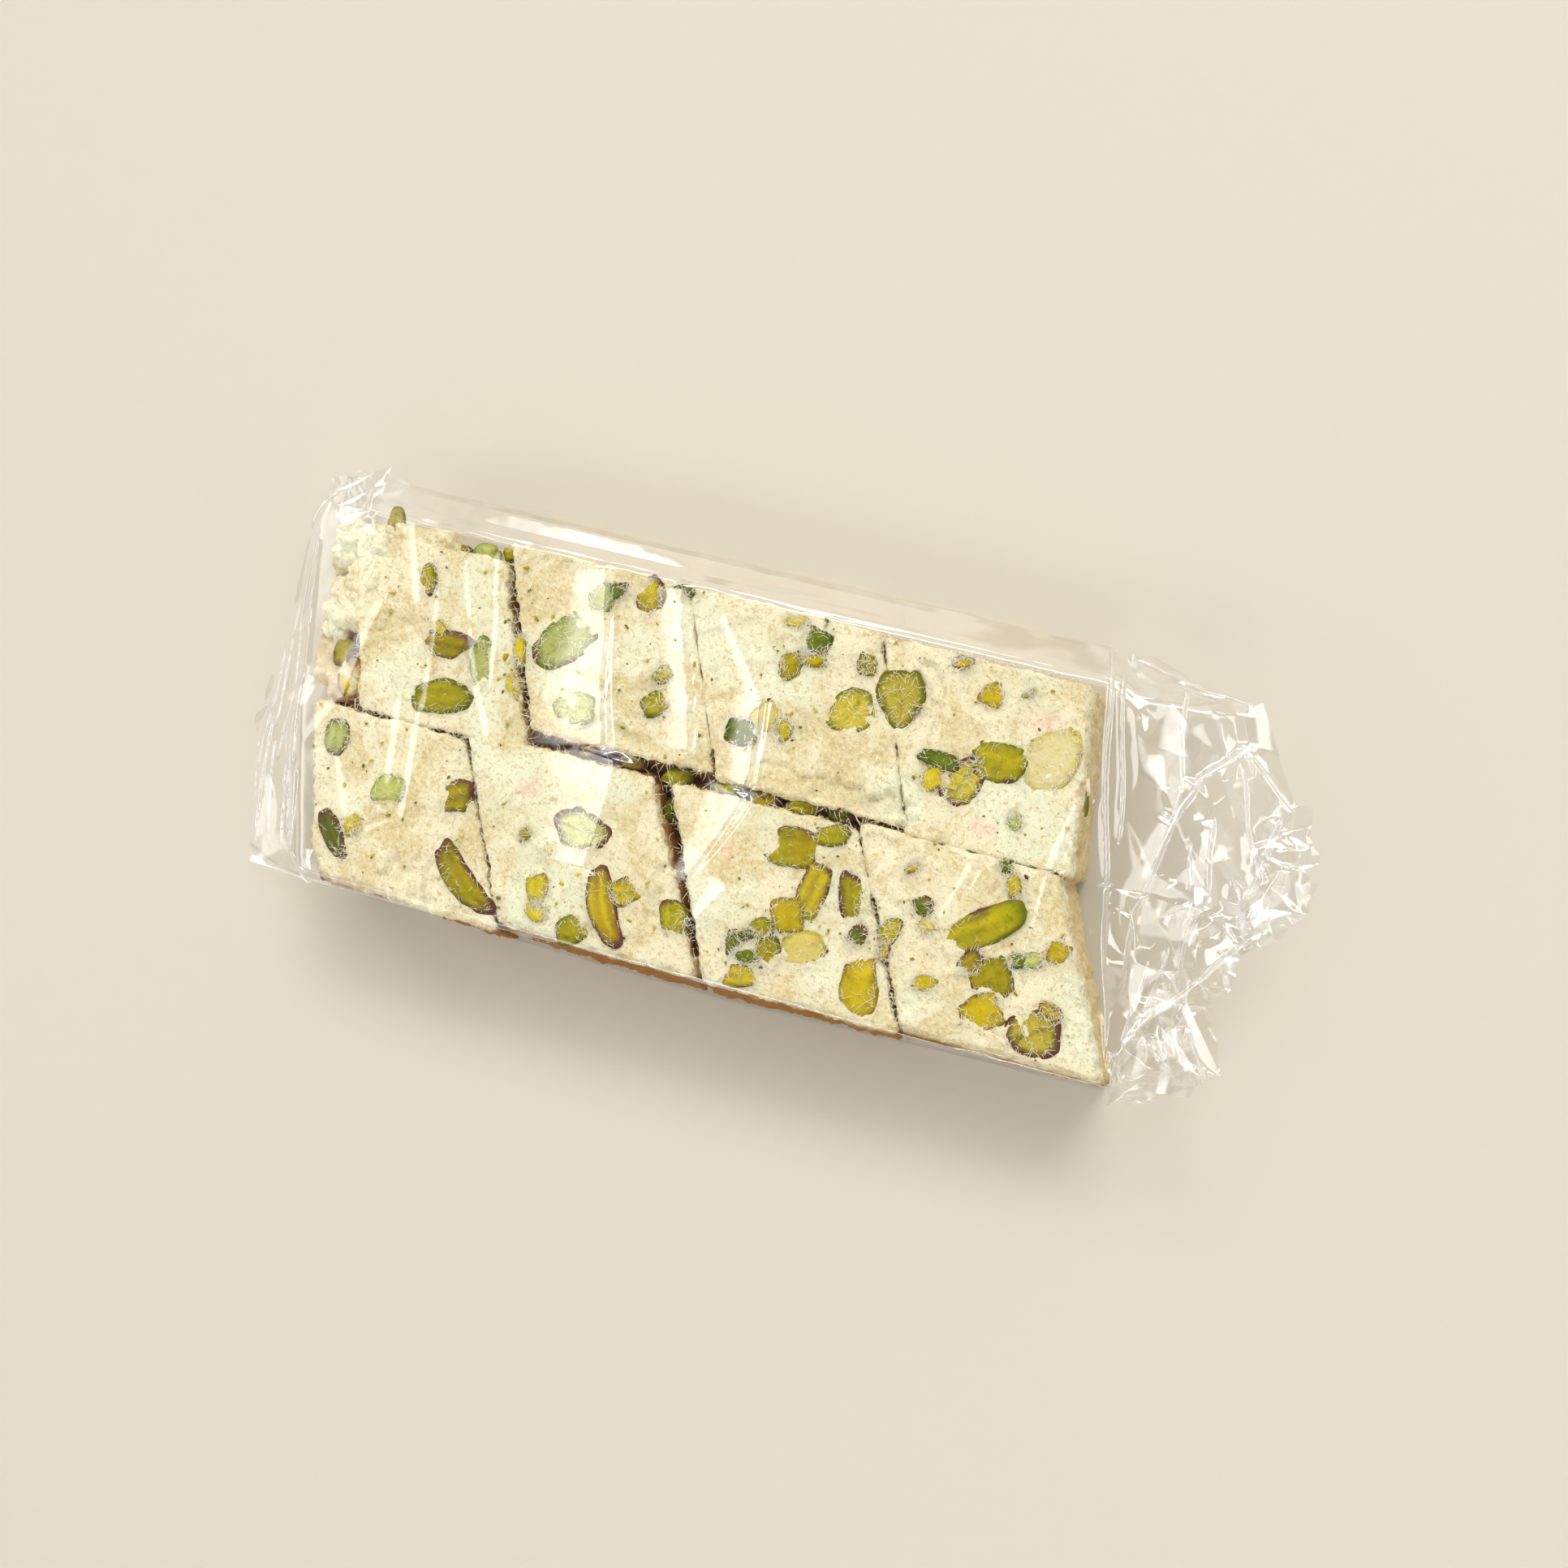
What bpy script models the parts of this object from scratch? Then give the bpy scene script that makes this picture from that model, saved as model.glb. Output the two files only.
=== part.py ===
"""Pistachio halva in a clear film bag: one closed solid of the pack as it lies.

The slab of halva is cut into two rows of four slanted pieces and shows whole
pistachios in its top. The bag lies close on the slab, stands off it in a skirt
along the far side, and is crumpled into a loose tuft at each end.

Metres, +Z up. The origin is the middle of the flat underside of the slab:
+X runs along the slab to the longer tuft, +Y across it to the skirt.
"""

import math
import random

import bmesh
import bpy
from mathutils import Matrix, Vector, noise

# The slab and its pieces
SLAB_HEIGHT = 0.018
CORE_HEIGHT = 0.010
EDGE_ROUND = 0.0012
PIECE_CUTS = 4
WALL_WANDER = 0.0008
TOP_WANDER = 0.0005
WANDER_SIZE = 0.007
BELOW_BASE = 0.003

# Each piece: left and right corner at its far edge, left and right corner at
# its near edge, and the two edges' own places across the slab
PIECES = {
    "far_1": (-0.0790, -0.0485, -0.0690, -0.0343, 0.0315, -0.0022),
    "far_2": (-0.0467, -0.0120, -0.0346, 0.0016, 0.0353, 0.0024),
    "far_3": (-0.0116, 0.0252, 0.0024, 0.0384, 0.0350, 0.0018),
    "far_4": (0.0262, 0.0645, 0.0392, 0.0692, 0.0342, 0.0005),
    "near_1": (-0.0785, -0.0475, -0.0695, -0.0319, -0.0028, -0.0357),
    "near_2": (-0.0468, -0.0100, -0.0315, 0.0076, -0.0012, -0.0342),
    "near_3": (-0.0058, 0.0298, 0.0095, 0.0462, -0.0010, -0.0342),
    "near_4": (0.0303, 0.0670, 0.0466, 0.0826, 0.0002, -0.0330),
}

# The core that fills the slab below the cuts, inside the outer pieces' walls
CORE_INSET = 0.003

# Lumps broken off the far left corner: place, and half sizes
CRUMBLED_LUMPS = [
    ((-0.0770, 0.0285, 0.0165), (0.0060, 0.0045, 0.0042)),
    ((-0.0735, 0.0190, 0.0175), (0.0050, 0.0060, 0.0028)),
    ((-0.0660, 0.0310, 0.0150), (0.0065, 0.0035, 0.0040)),
    ((-0.0790, 0.0160, 0.0120), (0.0035, 0.0060, 0.0050)),
]

# Pistachios that stand out of the top: x, y, length, width, turn in degrees
NUTS = [
    (-0.0735, 0.0340, 0.0080, 0.0035, 100),
    (-0.0620, 0.0250, 0.0055, 0.0030, 95),
    (-0.0555, 0.0135, 0.0095, 0.0050, 5),
    (-0.0475, 0.0115, 0.0092, 0.0044, 105),
    (-0.0535, 0.0040, 0.0105, 0.0058, 15),
    (-0.0330, 0.0195, 0.0112, 0.0074, 50),
    (-0.0275, 0.0080, 0.0072, 0.0056, 5),
    (-0.0185, 0.0315, 0.0085, 0.0055, 110),
    (-0.0120, 0.0125, 0.0052, 0.0038, 35),
    (0.0140, 0.0305, 0.0058, 0.0044, 15),
    (0.0108, 0.0250, 0.0052, 0.0038, 100),
    (0.0240, 0.0195, 0.0078, 0.0072, 10),
    (0.0052, 0.0110, 0.0062, 0.0046, 10),
    (0.0090, 0.0150, 0.0056, 0.0048, 40),
    (0.0320, 0.0240, 0.0096, 0.0078, 95),
    (0.0412, 0.0144, 0.0070, 0.0034, 0),
    (0.0468, 0.0120, 0.0078, 0.0064, 60),
    (0.0522, 0.0170, 0.0090, 0.0066, 0),
    (0.0612, 0.0200, 0.0112, 0.0088, 60),
    (-0.0718, -0.0085, 0.0062, 0.0042, 100),
    (-0.0590, -0.0160, 0.0066, 0.0058, 50),
    (-0.0675, -0.0270, 0.0086, 0.0038, -50),
    (-0.0454, -0.0138, 0.0064, 0.0056, 30),
    (-0.0388, -0.0298, 0.0155, 0.0060, -30),
    (-0.0200, -0.0140, 0.0100, 0.0068, -10),
    (-0.0134, -0.0255, 0.0165, 0.0056, -60),
    (-0.0255, -0.0284, 0.0070, 0.0048, 105),
    (0.0012, -0.0252, 0.0060, 0.0046, 100),
    (0.0200, -0.0070, 0.0100, 0.0068, 15),
    (0.0250, -0.0138, 0.0088, 0.0050, 85),
    (0.0216, -0.0190, 0.0058, 0.0054, 40),
    (0.0328, -0.0130, 0.0086, 0.0048, 115),
    (0.0258, -0.0248, 0.0074, 0.0062, 10),
    (0.0376, -0.0294, 0.0100, 0.0062, 100),
    (0.0556, -0.0130, 0.0158, 0.0064, 42),
    (0.0600, -0.0208, 0.0078, 0.0070, 60),
    (0.0604, -0.0268, 0.0068, 0.0062, 70),
    (0.0696, -0.0282, 0.0084, 0.0080, 0),
]
NUT_SEGMENTS = 9
NUT_RINGS = 6
NUT_PROUD = 0.0011
NUT_HALF_HEIGHT = 0.0030

# The bag's skirt along the far side: its ends, reach and fold height
SKIRT_LEFT = -0.0790
SKIRT_RIGHT = 0.0680
SKIRT_INNER = 0.0260
SKIRT_OUTER = 0.0432
SKIRT_FOLD_HEIGHT = 0.0095
SKIRT_BAYS = 18

# Where each tuft leaves the slab, and its outer edge: (y, x, height of edge)
RIGHT_ROOT = [(-0.0340, 0.0790), (-0.0010, 0.0640), (0.0350, 0.0610)]
RIGHT_EDGE = [
    (-0.0375, 0.0880, 0.005),
    (-0.0340, 0.0950, 0.009),
    (-0.0275, 0.1033, 0.012),
    (-0.0165, 0.0985, 0.009),
    (-0.0060, 0.1015, 0.014),
    (0.0010, 0.1075, 0.017),
    (0.0070, 0.1110, 0.021),
    (0.0230, 0.1037, 0.020),
    (0.0300, 0.0990, 0.018),
    (0.0380, 0.0935, 0.020),
    (0.0400, 0.0720, 0.015),
]
LEFT_ROOT = [(-0.0340, -0.0600), (-0.0010, -0.0660), (0.0330, -0.0700)]
LEFT_EDGE = [
    (-0.0385, -0.0860, 0.003),
    (-0.0377, -0.0916, 0.003),
    (-0.0100, -0.0960, 0.006),
    (0.0090, -0.0905, 0.011),
    (0.0320, -0.0880, 0.015),
    (0.0386, -0.0850, 0.018),
]
TUFT_BAYS_OUT = 10
TUFT_BAYS_ACROSS = 22
TUFT_EDGE_THICK = 0.0030
TUFT_SLAB_HEIGHT = 0.0172
TUFT_FOLDS = 4
FOLD_SPACING = (0.015, 0.026)
RIGHT_FOLD_DEPTH = 0.0036
LEFT_FOLD_DEPTH = 0.0022

# The flap of film turned up over the far left corner: corners and thickness
FLAP_CORNERS = [
    Vector((-0.0857, 0.0380, 0.0140)),
    Vector((-0.0725, 0.0437, 0.0225)),
    Vector((-0.0742, 0.0362, 0.0205)),
    Vector((-0.0800, 0.0300, 0.0150)),
]
FLAP_THICK = 0.0022

BASE_CUTTER_SIZE = (0.30, 0.20, 0.02)
RANDOM_SEED = 11

FILM_COLOR = (0.93, 0.91, 0.84, 1.0)
FILM_ROUGHNESS = 0.25


def clear_scene():
    for item in list(bpy.data.objects):
        bpy.data.objects.remove(item, do_unlink=True)


def new_collection(name):
    collection = bpy.data.collections.new(name)
    bpy.context.scene.collection.children.link(collection)
    return collection


def new_object(name, bm, collection):
    mesh = bpy.data.meshes.new(name)
    bmesh.ops.recalc_face_normals(bm, faces=bm.faces)
    bm.to_mesh(mesh)
    bm.free()
    item = bpy.data.objects.new(name, mesh)
    collection.objects.link(item)
    return item


def between(points, at):
    """The other values of a list of (place, value, ...) points, at one place."""
    if at <= points[0][0]:
        return points[0][1:]
    for low, high in zip(points, points[1:]):
        if at <= high[0]:
            share = (at - low[0]) / (high[0] - low[0])
            return tuple(a + (b - a) * share for a, b in zip(low[1:], high[1:]))
    return points[-1][1:]


def wander(place, amount, seed):
    """A smooth uneven push, as of a crumbly face, the same at every run."""
    return noise.noise_vector(place / WANDER_SIZE + Vector((seed, -seed, 0))) * amount


def grid_block(cuts_x, cuts_y, cuts_z):
    """A unit cube about the origin, divided evenly along each of its axes."""
    bm = bmesh.new()
    bmesh.ops.create_cube(bm, size=1.0)
    for axis, cuts in enumerate((cuts_x, cuts_y, cuts_z)):
        along = [e for e in bm.edges if abs((e.verts[0].co - e.verts[1].co)[axis]) > 1e-6]
        if cuts:
            bmesh.ops.subdivide_edges(bm, edges=along, cuts=cuts, use_grid_fill=True)
    return bm


def halva_piece(name, size, seed, collection):
    """One slanted piece: soft edges, an uneven top and crumbly cut walls."""
    far_left, far_right, near_left, near_right, y_far, y_near = size
    bm = grid_block(PIECE_CUTS, PIECE_CUTS, 2)
    for v in bm.verts:
        across, along = v.co.y + 0.5, v.co.x + 0.5
        left = near_left + (far_left - near_left) * across
        right = near_right + (far_right - near_right) * across
        on_top = v.co.z > 0.49
        on_wall = max(abs(v.co.x), abs(v.co.y)) > 0.49
        place = Vector((left + (right - left) * along, y_near + (y_far - y_near) * across, 0))
        place.z = SLAB_HEIGHT * (v.co.z + 0.5) - BELOW_BASE * (0.5 - v.co.z)
        push = wander(place, WALL_WANDER if on_wall else TOP_WANDER, seed)
        if on_top and on_wall:
            middle = Vector(((left + right) / 2, (y_near + y_far) / 2, place.z))
            push += (middle - place).normalized() * EDGE_ROUND
            push.z -= EDGE_ROUND
        if on_wall and not on_top:
            push.z = 0
        v.co = place + push
    return new_object(name, bm, collection)


def slab_core():
    """What joins the pieces under the cuts: one low block in each row, meeting at the seam."""
    rows = [[p for n, p in PIECES.items() if n.startswith(row)] for row in ("far", "near")]
    blocks = []
    for row in rows:
        y_far = row[0][4] - CORE_INSET if row is rows[0] else CORE_INSET
        y_near = -CORE_INSET if row is rows[0] else row[0][5] + CORE_INSET
        bm = grid_block(0, 0, 0)
        for v in bm.verts:
            left = row[0][0] if v.co.y > 0 else row[0][2]
            right = row[-1][1] if v.co.y > 0 else row[-1][3]
            v.co.x = left + CORE_INSET if v.co.x < 0 else right - CORE_INSET
            v.co.y = y_far if v.co.y > 0 else y_near
            v.co.z = CORE_HEIGHT if v.co.z > 0 else -BELOW_BASE
        blocks.append(bm)
    return blocks


def lump(name, place, half_sizes, seed, collection):
    bm = bmesh.new()
    bmesh.ops.create_icosphere(bm, subdivisions=2, radius=1.0)
    for v in bm.verts:
        rough = 1 + 0.25 * noise.noise(v.co * 1.7 + Vector((seed, 0, 0)))
        v.co = Vector(place) + Vector(a * b * rough for a, b in zip(v.co, half_sizes))
    return new_object(name, bm, collection)


def nut(name, x, y, length, width, turn, collection):
    """A pistachio sunk in the top, blunt at one end and pointed at the other."""
    bm = bmesh.new()
    bmesh.ops.create_uvsphere(bm, u_segments=NUT_SEGMENTS, v_segments=NUT_RINGS, radius=1.0)
    for v in bm.verts:
        taper = 1 - 0.22 * v.co.z
        across, up = v.co.y * taper * width / 2, v.co.x * taper * NUT_HALF_HEIGHT
        v.co = Vector((v.co.z * length / 2, across, up))
    height = SLAB_HEIGHT + NUT_PROUD - NUT_HALF_HEIGHT
    turned = Matrix.Translation((x, y, height)) @ Matrix.Rotation(math.radians(turn), 4, "Z")
    bmesh.ops.transform(bm, matrix=turned, verts=bm.verts)
    return new_object(name, bm, collection)


def skirt(collection):
    """The film that stands off the slab's far side: a wedge down to a folded edge."""
    bm = grid_block(SKIRT_BAYS, 1, 1)
    for v in bm.verts:
        x = SKIRT_LEFT + (SKIRT_RIGHT - SKIRT_LEFT) * (v.co.x + 0.5)
        out = v.co.y + 0.5
        y = SKIRT_INNER + (SKIRT_OUTER - SKIRT_INNER) * out
        top = SLAB_HEIGHT - 0.001 + (SKIRT_FOLD_HEIGHT - SLAB_HEIGHT) * out * out
        bottom = (SKIRT_FOLD_HEIGHT - 0.004) * max(0.0, out * 2 - 1)
        z = -BELOW_BASE if v.co.z < 0 and out < 0.9 else bottom
        if v.co.z > 0.49:
            z = top
        elif v.co.z > -0.49:
            z = (top + bottom) / 2
        push = wander(Vector((x, y, z)), WALL_WANDER, 40)
        if out < 0.1:
            push = Vector()
        v.co = Vector((x, y + push.y, z + push.z))
    return new_object("skirt", bm, collection)


def fold_sets(rng):
    """Sets of parallel straight folds: a direction, a spacing and an offset for each."""
    folds = []
    for number in range(TUFT_FOLDS):
        angle = math.pi * (number + rng.uniform(-0.3, 0.3)) / TUFT_FOLDS
        folds.append((angle, rng.uniform(*FOLD_SPACING), rng.random()))
    return folds


def folded(folds, x, y):
    """The height, from -1 to 1, of a sheet with those folds: flat facets between them."""
    total = 0.0
    for angle, spacing, offset in folds:
        along = (x * math.cos(angle) + y * math.sin(angle)) / spacing + offset
        total += 4 * abs(along - math.floor(along) - 0.5) - 1
    return total / len(folds)


def tuft(name, root, edge, depth, seed, collection):
    """A crumpled end of the bag, from the slab's end wall out to its ragged edge."""
    folds = fold_sets(random.Random(seed))
    bm = grid_block(TUFT_BAYS_OUT, TUFT_BAYS_ACROSS, 0)
    for v in bm.verts:
        out, across, is_top = v.co.x + 0.5, v.co.y + 0.5, v.co.z > 0
        y_edge = edge[0][0] + (edge[-1][0] - edge[0][0]) * across
        y_root = root[0][0] + (root[-1][0] - root[0][0]) * across
        x_root = between(root, y_root)[0]
        x_edge, z_edge = between(edge, y_edge)
        x = x_root + (x_edge - x_root) * out
        y = y_root + (y_edge - y_root) * min(1.0, out * 2.5)
        loose = min(1.0, out * 2.5) * (1 - 0.5 * out)
        ripple = 2 * depth * loose * folded(folds, x, y)
        low = max(0.0, z_edge - TUFT_EDGE_THICK) * out ** 2.5
        top = max(TUFT_SLAB_HEIGHT + (z_edge - TUFT_SLAB_HEIGHT) * out + ripple, low + TUFT_EDGE_THICK)
        v.co = Vector((x, y, top if is_top else low if out > 0.55 else -BELOW_BASE))
    return new_object(name, bm, collection)


def flap(collection):
    """The film's corner, turned up as a thin four-cornered tongue."""
    bm = bmesh.new()
    corners = [bm.verts.new(c) for c in FLAP_CORNERS]
    face = bm.faces.new(corners)
    made = bmesh.ops.extrude_face_region(bm, geom=[face])
    down = [item for item in made["geom"] if isinstance(item, bmesh.types.BMVert)]
    bmesh.ops.translate(bm, verts=down, vec=(0, 0, -FLAP_THICK))
    return new_object("flap", bm, collection)


def base_cutter(collection):
    """The space under the pack, which gives it its flat underside."""
    bm = bmesh.new()
    bmesh.ops.create_cube(bm, size=1.0)
    bmesh.ops.scale(bm, vec=BASE_CUTTER_SIZE, verts=bm.verts)
    bmesh.ops.translate(bm, vec=(0, 0, -BASE_CUTTER_SIZE[2] / 2), verts=bm.verts)
    cutter = new_object("base_cutter", bm, collection)
    cutter.hide_render = True
    cutter.display_type = "WIRE"
    return cutter


def apply_modifiers(item):
    evaluated = item.evaluated_get(bpy.context.evaluated_depsgraph_get())
    mesh = bpy.data.meshes.new_from_object(evaluated)
    item.modifiers.clear()
    item.data = mesh


def film_material():
    material = bpy.data.materials.new("film")
    material.use_nodes = True
    shader = material.node_tree.nodes["Principled BSDF"]
    shader.inputs["Base Color"].default_value = FILM_COLOR
    shader.inputs["Roughness"].default_value = FILM_ROUGHNESS
    shader.inputs["Metallic"].default_value = 0.0
    return material


def build():
    clear_scene()
    parts = new_collection("pistachio_halva_bag")
    cutters = new_collection("cutters")
    joined = new_collection("joined")

    for number, (name, size) in enumerate(PIECES.items()):
        halva_piece(name, size, number * 7.3, joined)
    for number, (place, half_sizes) in enumerate(CRUMBLED_LUMPS):
        lump(f"lump_{number}", place, half_sizes, number * 3.1, joined)
    for number, size in enumerate(NUTS):
        nut(f"nut_{number}", *size, joined)
    skirt(joined)
    tuft("right_tuft", RIGHT_ROOT, RIGHT_EDGE, RIGHT_FOLD_DEPTH, RANDOM_SEED, joined)
    tuft("left_tuft", LEFT_ROOT, LEFT_EDGE, LEFT_FOLD_DEPTH, RANDOM_SEED + 1, joined)
    flap(joined)
    far_core, near_core = slab_core()
    new_object("near_core", near_core, joined)

    bag = new_object("halva_bag", far_core, parts)
    union = bag.modifiers.new("join", "BOOLEAN")
    union.operation = "UNION"
    union.operand_type = "COLLECTION"
    union.collection = joined
    union.solver = "EXACT"
    union.use_self = True
    cut = bag.modifiers.new("flat_base", "BOOLEAN")
    cut.operation = "DIFFERENCE"
    cut.object = base_cutter(cutters)
    cut.solver = "EXACT"
    apply_modifiers(bag)
    bag.data.materials.clear()
    bag.data.materials.append(film_material())
    for item in list(joined.objects):
        bpy.data.objects.remove(item, do_unlink=True)
    bpy.data.collections.remove(joined)


build()
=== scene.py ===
"""Pistachio halva in its clear film bag: the looks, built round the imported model."""

import math
import random

import bmesh
import bpy
import numpy as np
from mathutils import Euler, Matrix, Vector


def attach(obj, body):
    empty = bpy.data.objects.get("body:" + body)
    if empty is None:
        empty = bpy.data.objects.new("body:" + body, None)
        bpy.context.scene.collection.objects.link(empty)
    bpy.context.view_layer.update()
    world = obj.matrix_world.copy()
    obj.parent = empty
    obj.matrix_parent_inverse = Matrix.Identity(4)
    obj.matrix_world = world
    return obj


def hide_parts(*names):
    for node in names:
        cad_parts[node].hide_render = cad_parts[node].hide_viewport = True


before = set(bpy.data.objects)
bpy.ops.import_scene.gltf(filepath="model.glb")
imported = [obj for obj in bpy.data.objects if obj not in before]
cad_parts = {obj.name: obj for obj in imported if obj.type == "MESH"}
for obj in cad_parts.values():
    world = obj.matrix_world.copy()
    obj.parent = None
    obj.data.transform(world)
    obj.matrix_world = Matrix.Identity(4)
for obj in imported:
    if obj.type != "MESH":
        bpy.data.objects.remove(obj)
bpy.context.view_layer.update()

# ---------------------------------------------------------------------------
# The halva. A pressed slab of pulled sugar and sesame paste, pale and crumbly,
# sliced from the block and then cut on the slant into two rows of four pieces,
# which lie side by side as they were cut.
MM = 0.001
SLAB_TOP = 18.0 * MM
SLAB_UNDER = 0.5 * MM
# left and right corner at the far edge, the same at the near edge, far and near edge
PIECES = {
    "far_1": (-79.0, -48.3, -69.0, -34.6, 31.5, -2.2),
    "far_2": (-47.8, -12.0, -34.7, 1.6, 35.3, 2.4),
    "far_3": (-11.6, 25.2, 2.4, 38.4, 35.0, 1.8),
    "far_4": (26.2, 64.5, 39.2, 69.2, 34.2, 0.5),
    "near_1": (-78.5, -47.3, -69.5, -31.8, -2.8, -35.7),
    "near_2": (-46.9, -10.0, -31.5, 7.6, -1.2, -34.2),
    "near_3": (-5.8, 29.8, 9.5, 46.2, -1.0, -34.2),
    "near_4": (30.3, 67.0, 46.6, 82.6, 0.2, -33.0),
}
# the whole slab's left and right sides: y, x
LEFT_SIDE = [(-35.7, -69.5), (0.0, -79.0), (31.5, -79.0)]
RIGHT_SIDE = [(-33.0, 82.6), (0.0, 67.0), (0.6, 69.2), (34.2, 64.5)]
# between these every row across the slab is halva
NEAR_Y, FAR_Y = -33.5 * MM, 31.5 * MM
# how far the foot of the near side stands out along x, that of the right end, and
# where the near side's begins and how soon both fade inwards
NEAR_SPREAD = [(-75, 0.3), (-50, 1.6), (-20, 3.7), (10, 3.9), (50, 2.7), (85, 1.4)]
RIGHT_SPREAD = 2.6 * MM
SPREAD_FROM = -22.0 * MM
SPREAD_FADE = 10.0 * MM
CORNER_CUT = 0.7 * MM
EDGE_CUT = 0.32 * MM
# the cuts between the pieces gape at the top and close lower down
CUT_OPEN = 2.8 * MM
CUT_CLOSED = 6.5 * MM
CUT_FILL = 1.5 * MM
GRAIN_STEP = 0.46 * MM
# how rough the halva is: grain and depth in millimetres, and where
HALVA_ROUGH = [(8.0, 0.9, None), (2.2, 1.5, "walls"), (0.9, 0.9, "walls"), (1.6, 0.28, None)]
LUMP_ROUGH = [(4.0, 2.6), (2.0, 1.6), (1.0, 0.7)]
LUMP_BLUNT = 0.55
# the grey of the cloudy pattern that leaves a surface where it is
CLOUD_MIDDLE = 0.44
# where flakes have broken off: x, y, half sizes in millimetres, turn in degrees, depth
CHIPS = [
    (36.4, 27.0, 2.8, 5.4, 10, 0.9),
    (33.2, 33.2, 4.6, 2.2, -5, 0.5),
    (26.0, 4.4, 8.0, 2.4, -4, 0.9),
    (34.6, 4.0, 4.6, 2.8, 0, 1.1),
    (40.6, 8.6, 2.4, 3.4, 30, 0.5),
    (-53.6, -30.4, 2.4, 3.0, 0, 0.8),
    (-49.6, -31.0, 1.0, 4.6, 5, 0.7),
    (-46.8, -31.6, 0.9, 5.0, 8, 0.6),
    (-3.4, -23.6, 1.8, 3.2, 15, 0.9),
    (-3.0, -17.4, 1.2, 2.0, 0, 0.6),
    (-71.5, -34.5, 6.0, 3.0, -42, 2.4),
    (-60.0, -36.2, 9.0, 1.5, 0, 1.6),
    (-45.4, -8.0, 1.6, 4.4, 10, 0.5),
    (-37.4, 32.8, 3.6, 2.4, 0, 0.4),
    (35.6, -2.6, 3.4, 2.0, -10, 0.6),
    (-66.0, 13.0, 6.0, 4.0, 20, 0.5),
    (50.0, 31.0, 5.0, 2.2, -10, 0.4),
    (14.0, 5.4, 5.0, 1.8, -5, 0.5),
    (-20.0, 5.0, 6.0, 2.0, -6, 0.7),
    (62.0, -5.0, 5.0, 2.0, 0, 0.4),
]
# lumps crumbled off the far left corner: place, and half sizes
LUMPS = [
    ((-77.0, 28.5, 13.8), (6.0, 4.5, 3.6)),
    ((-73.5, 19.0, 15.6), (5.5, 6.5, 2.0)),
    ((-66.0, 31.0, 13.0), (6.5, 3.5, 3.6)),
    ((-79.0, 16.0, 11.0), (3.5, 6.0, 5.0)),
    ((-82.0, 25.0, 11.5), (2.2, 3.0, 2.4)),
    ((-79.5, 7.0, 8.5), (2.6, 6.0, 5.5)),
    ((-73.8, 3.0, 8.2), (4.4, 4.6, 7.8)),
]


def paint(red, green, blue):
    """A colour as it is given, from 0 to 255, in the renderer's own scale."""
    shares = [c / 255 for c in (red, green, blue)]
    linear = [c / 12.92 if c <= 0.04045 else ((c + 0.055) / 1.055) ** 2.4 for c in shares]
    return (*linear, 1.0)


def choose(piece):
    """Makes a piece the active one and the only one selected."""
    bpy.ops.object.select_all(action="DESELECT")
    piece.select_set(True)
    bpy.context.view_layer.objects.active = piece


def begin_edit(piece):
    choose(piece)
    bpy.ops.object.mode_set(mode="EDIT")
    bpy.ops.mesh.select_all(action="DESELECT")


def end_edit():
    bpy.ops.object.mode_set(mode="OBJECT")


def pick(piece, kind, test):
    """Selects, in edit mode, only the vertices, edges or faces that pass the test."""
    bpy.ops.mesh.select_all(action="DESELECT")
    bpy.ops.mesh.select_mode(type=kind)
    bm = bmesh.from_edit_mesh(piece.data)
    for item in {"VERT": bm.verts, "EDGE": bm.edges, "FACE": bm.faces}[kind]:
        item.select_set(test(item))
    bm.select_flush_mode()
    bmesh.update_edit_mesh(piece.data)


def apply_all(piece):
    choose(piece)
    for modifier in list(piece.modifiers):
        bpy.ops.object.modifier_apply(modifier=modifier.name)


def points_of(mesh):
    points = np.empty(len(mesh.vertices) * 3, np.float32)
    mesh.vertices.foreach_get("co", points)
    return points.reshape(-1, 3).astype(float)


def set_points(mesh, points):
    mesh.vertices.foreach_set("co", np.asarray(points, np.float32).ravel())
    mesh.update()


def normals_of(mesh):
    normals = np.empty(len(mesh.vertices) * 3, np.float32)
    mesh.vertices.foreach_get("normal", normals)
    return normals.reshape(-1, 3).astype(float)


def even_mesh(piece):
    """Gives a piece an even fine mesh."""
    grid = piece.modifiers.new("grain", "REMESH")
    grid.mode = "VOXEL"
    grid.voxel_size = GRAIN_STEP


def roughen(piece, grain, depth, where=None):
    """Pushes a surface in and out by a cloudy pattern of that grain and depth."""
    pattern = bpy.data.textures.new(f"{piece.name}_{grain:.4f}", "CLOUDS")
    pattern.noise_scale = grain
    pattern.noise_depth = 3
    push = piece.modifiers.new("roughen", "DISPLACE")
    push.texture = pattern
    push.texture_coords = "GLOBAL"
    push.strength = depth
    push.mid_level = CLOUD_MIDDLE
    if where:
        push.vertex_group = where


def group_of(piece, name, weights):
    group = piece.vertex_groups.new(name=name)
    for index, weight in enumerate(weights):
        if weight > 0.01:
            group.add([index], float(weight), "REPLACE")


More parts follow.
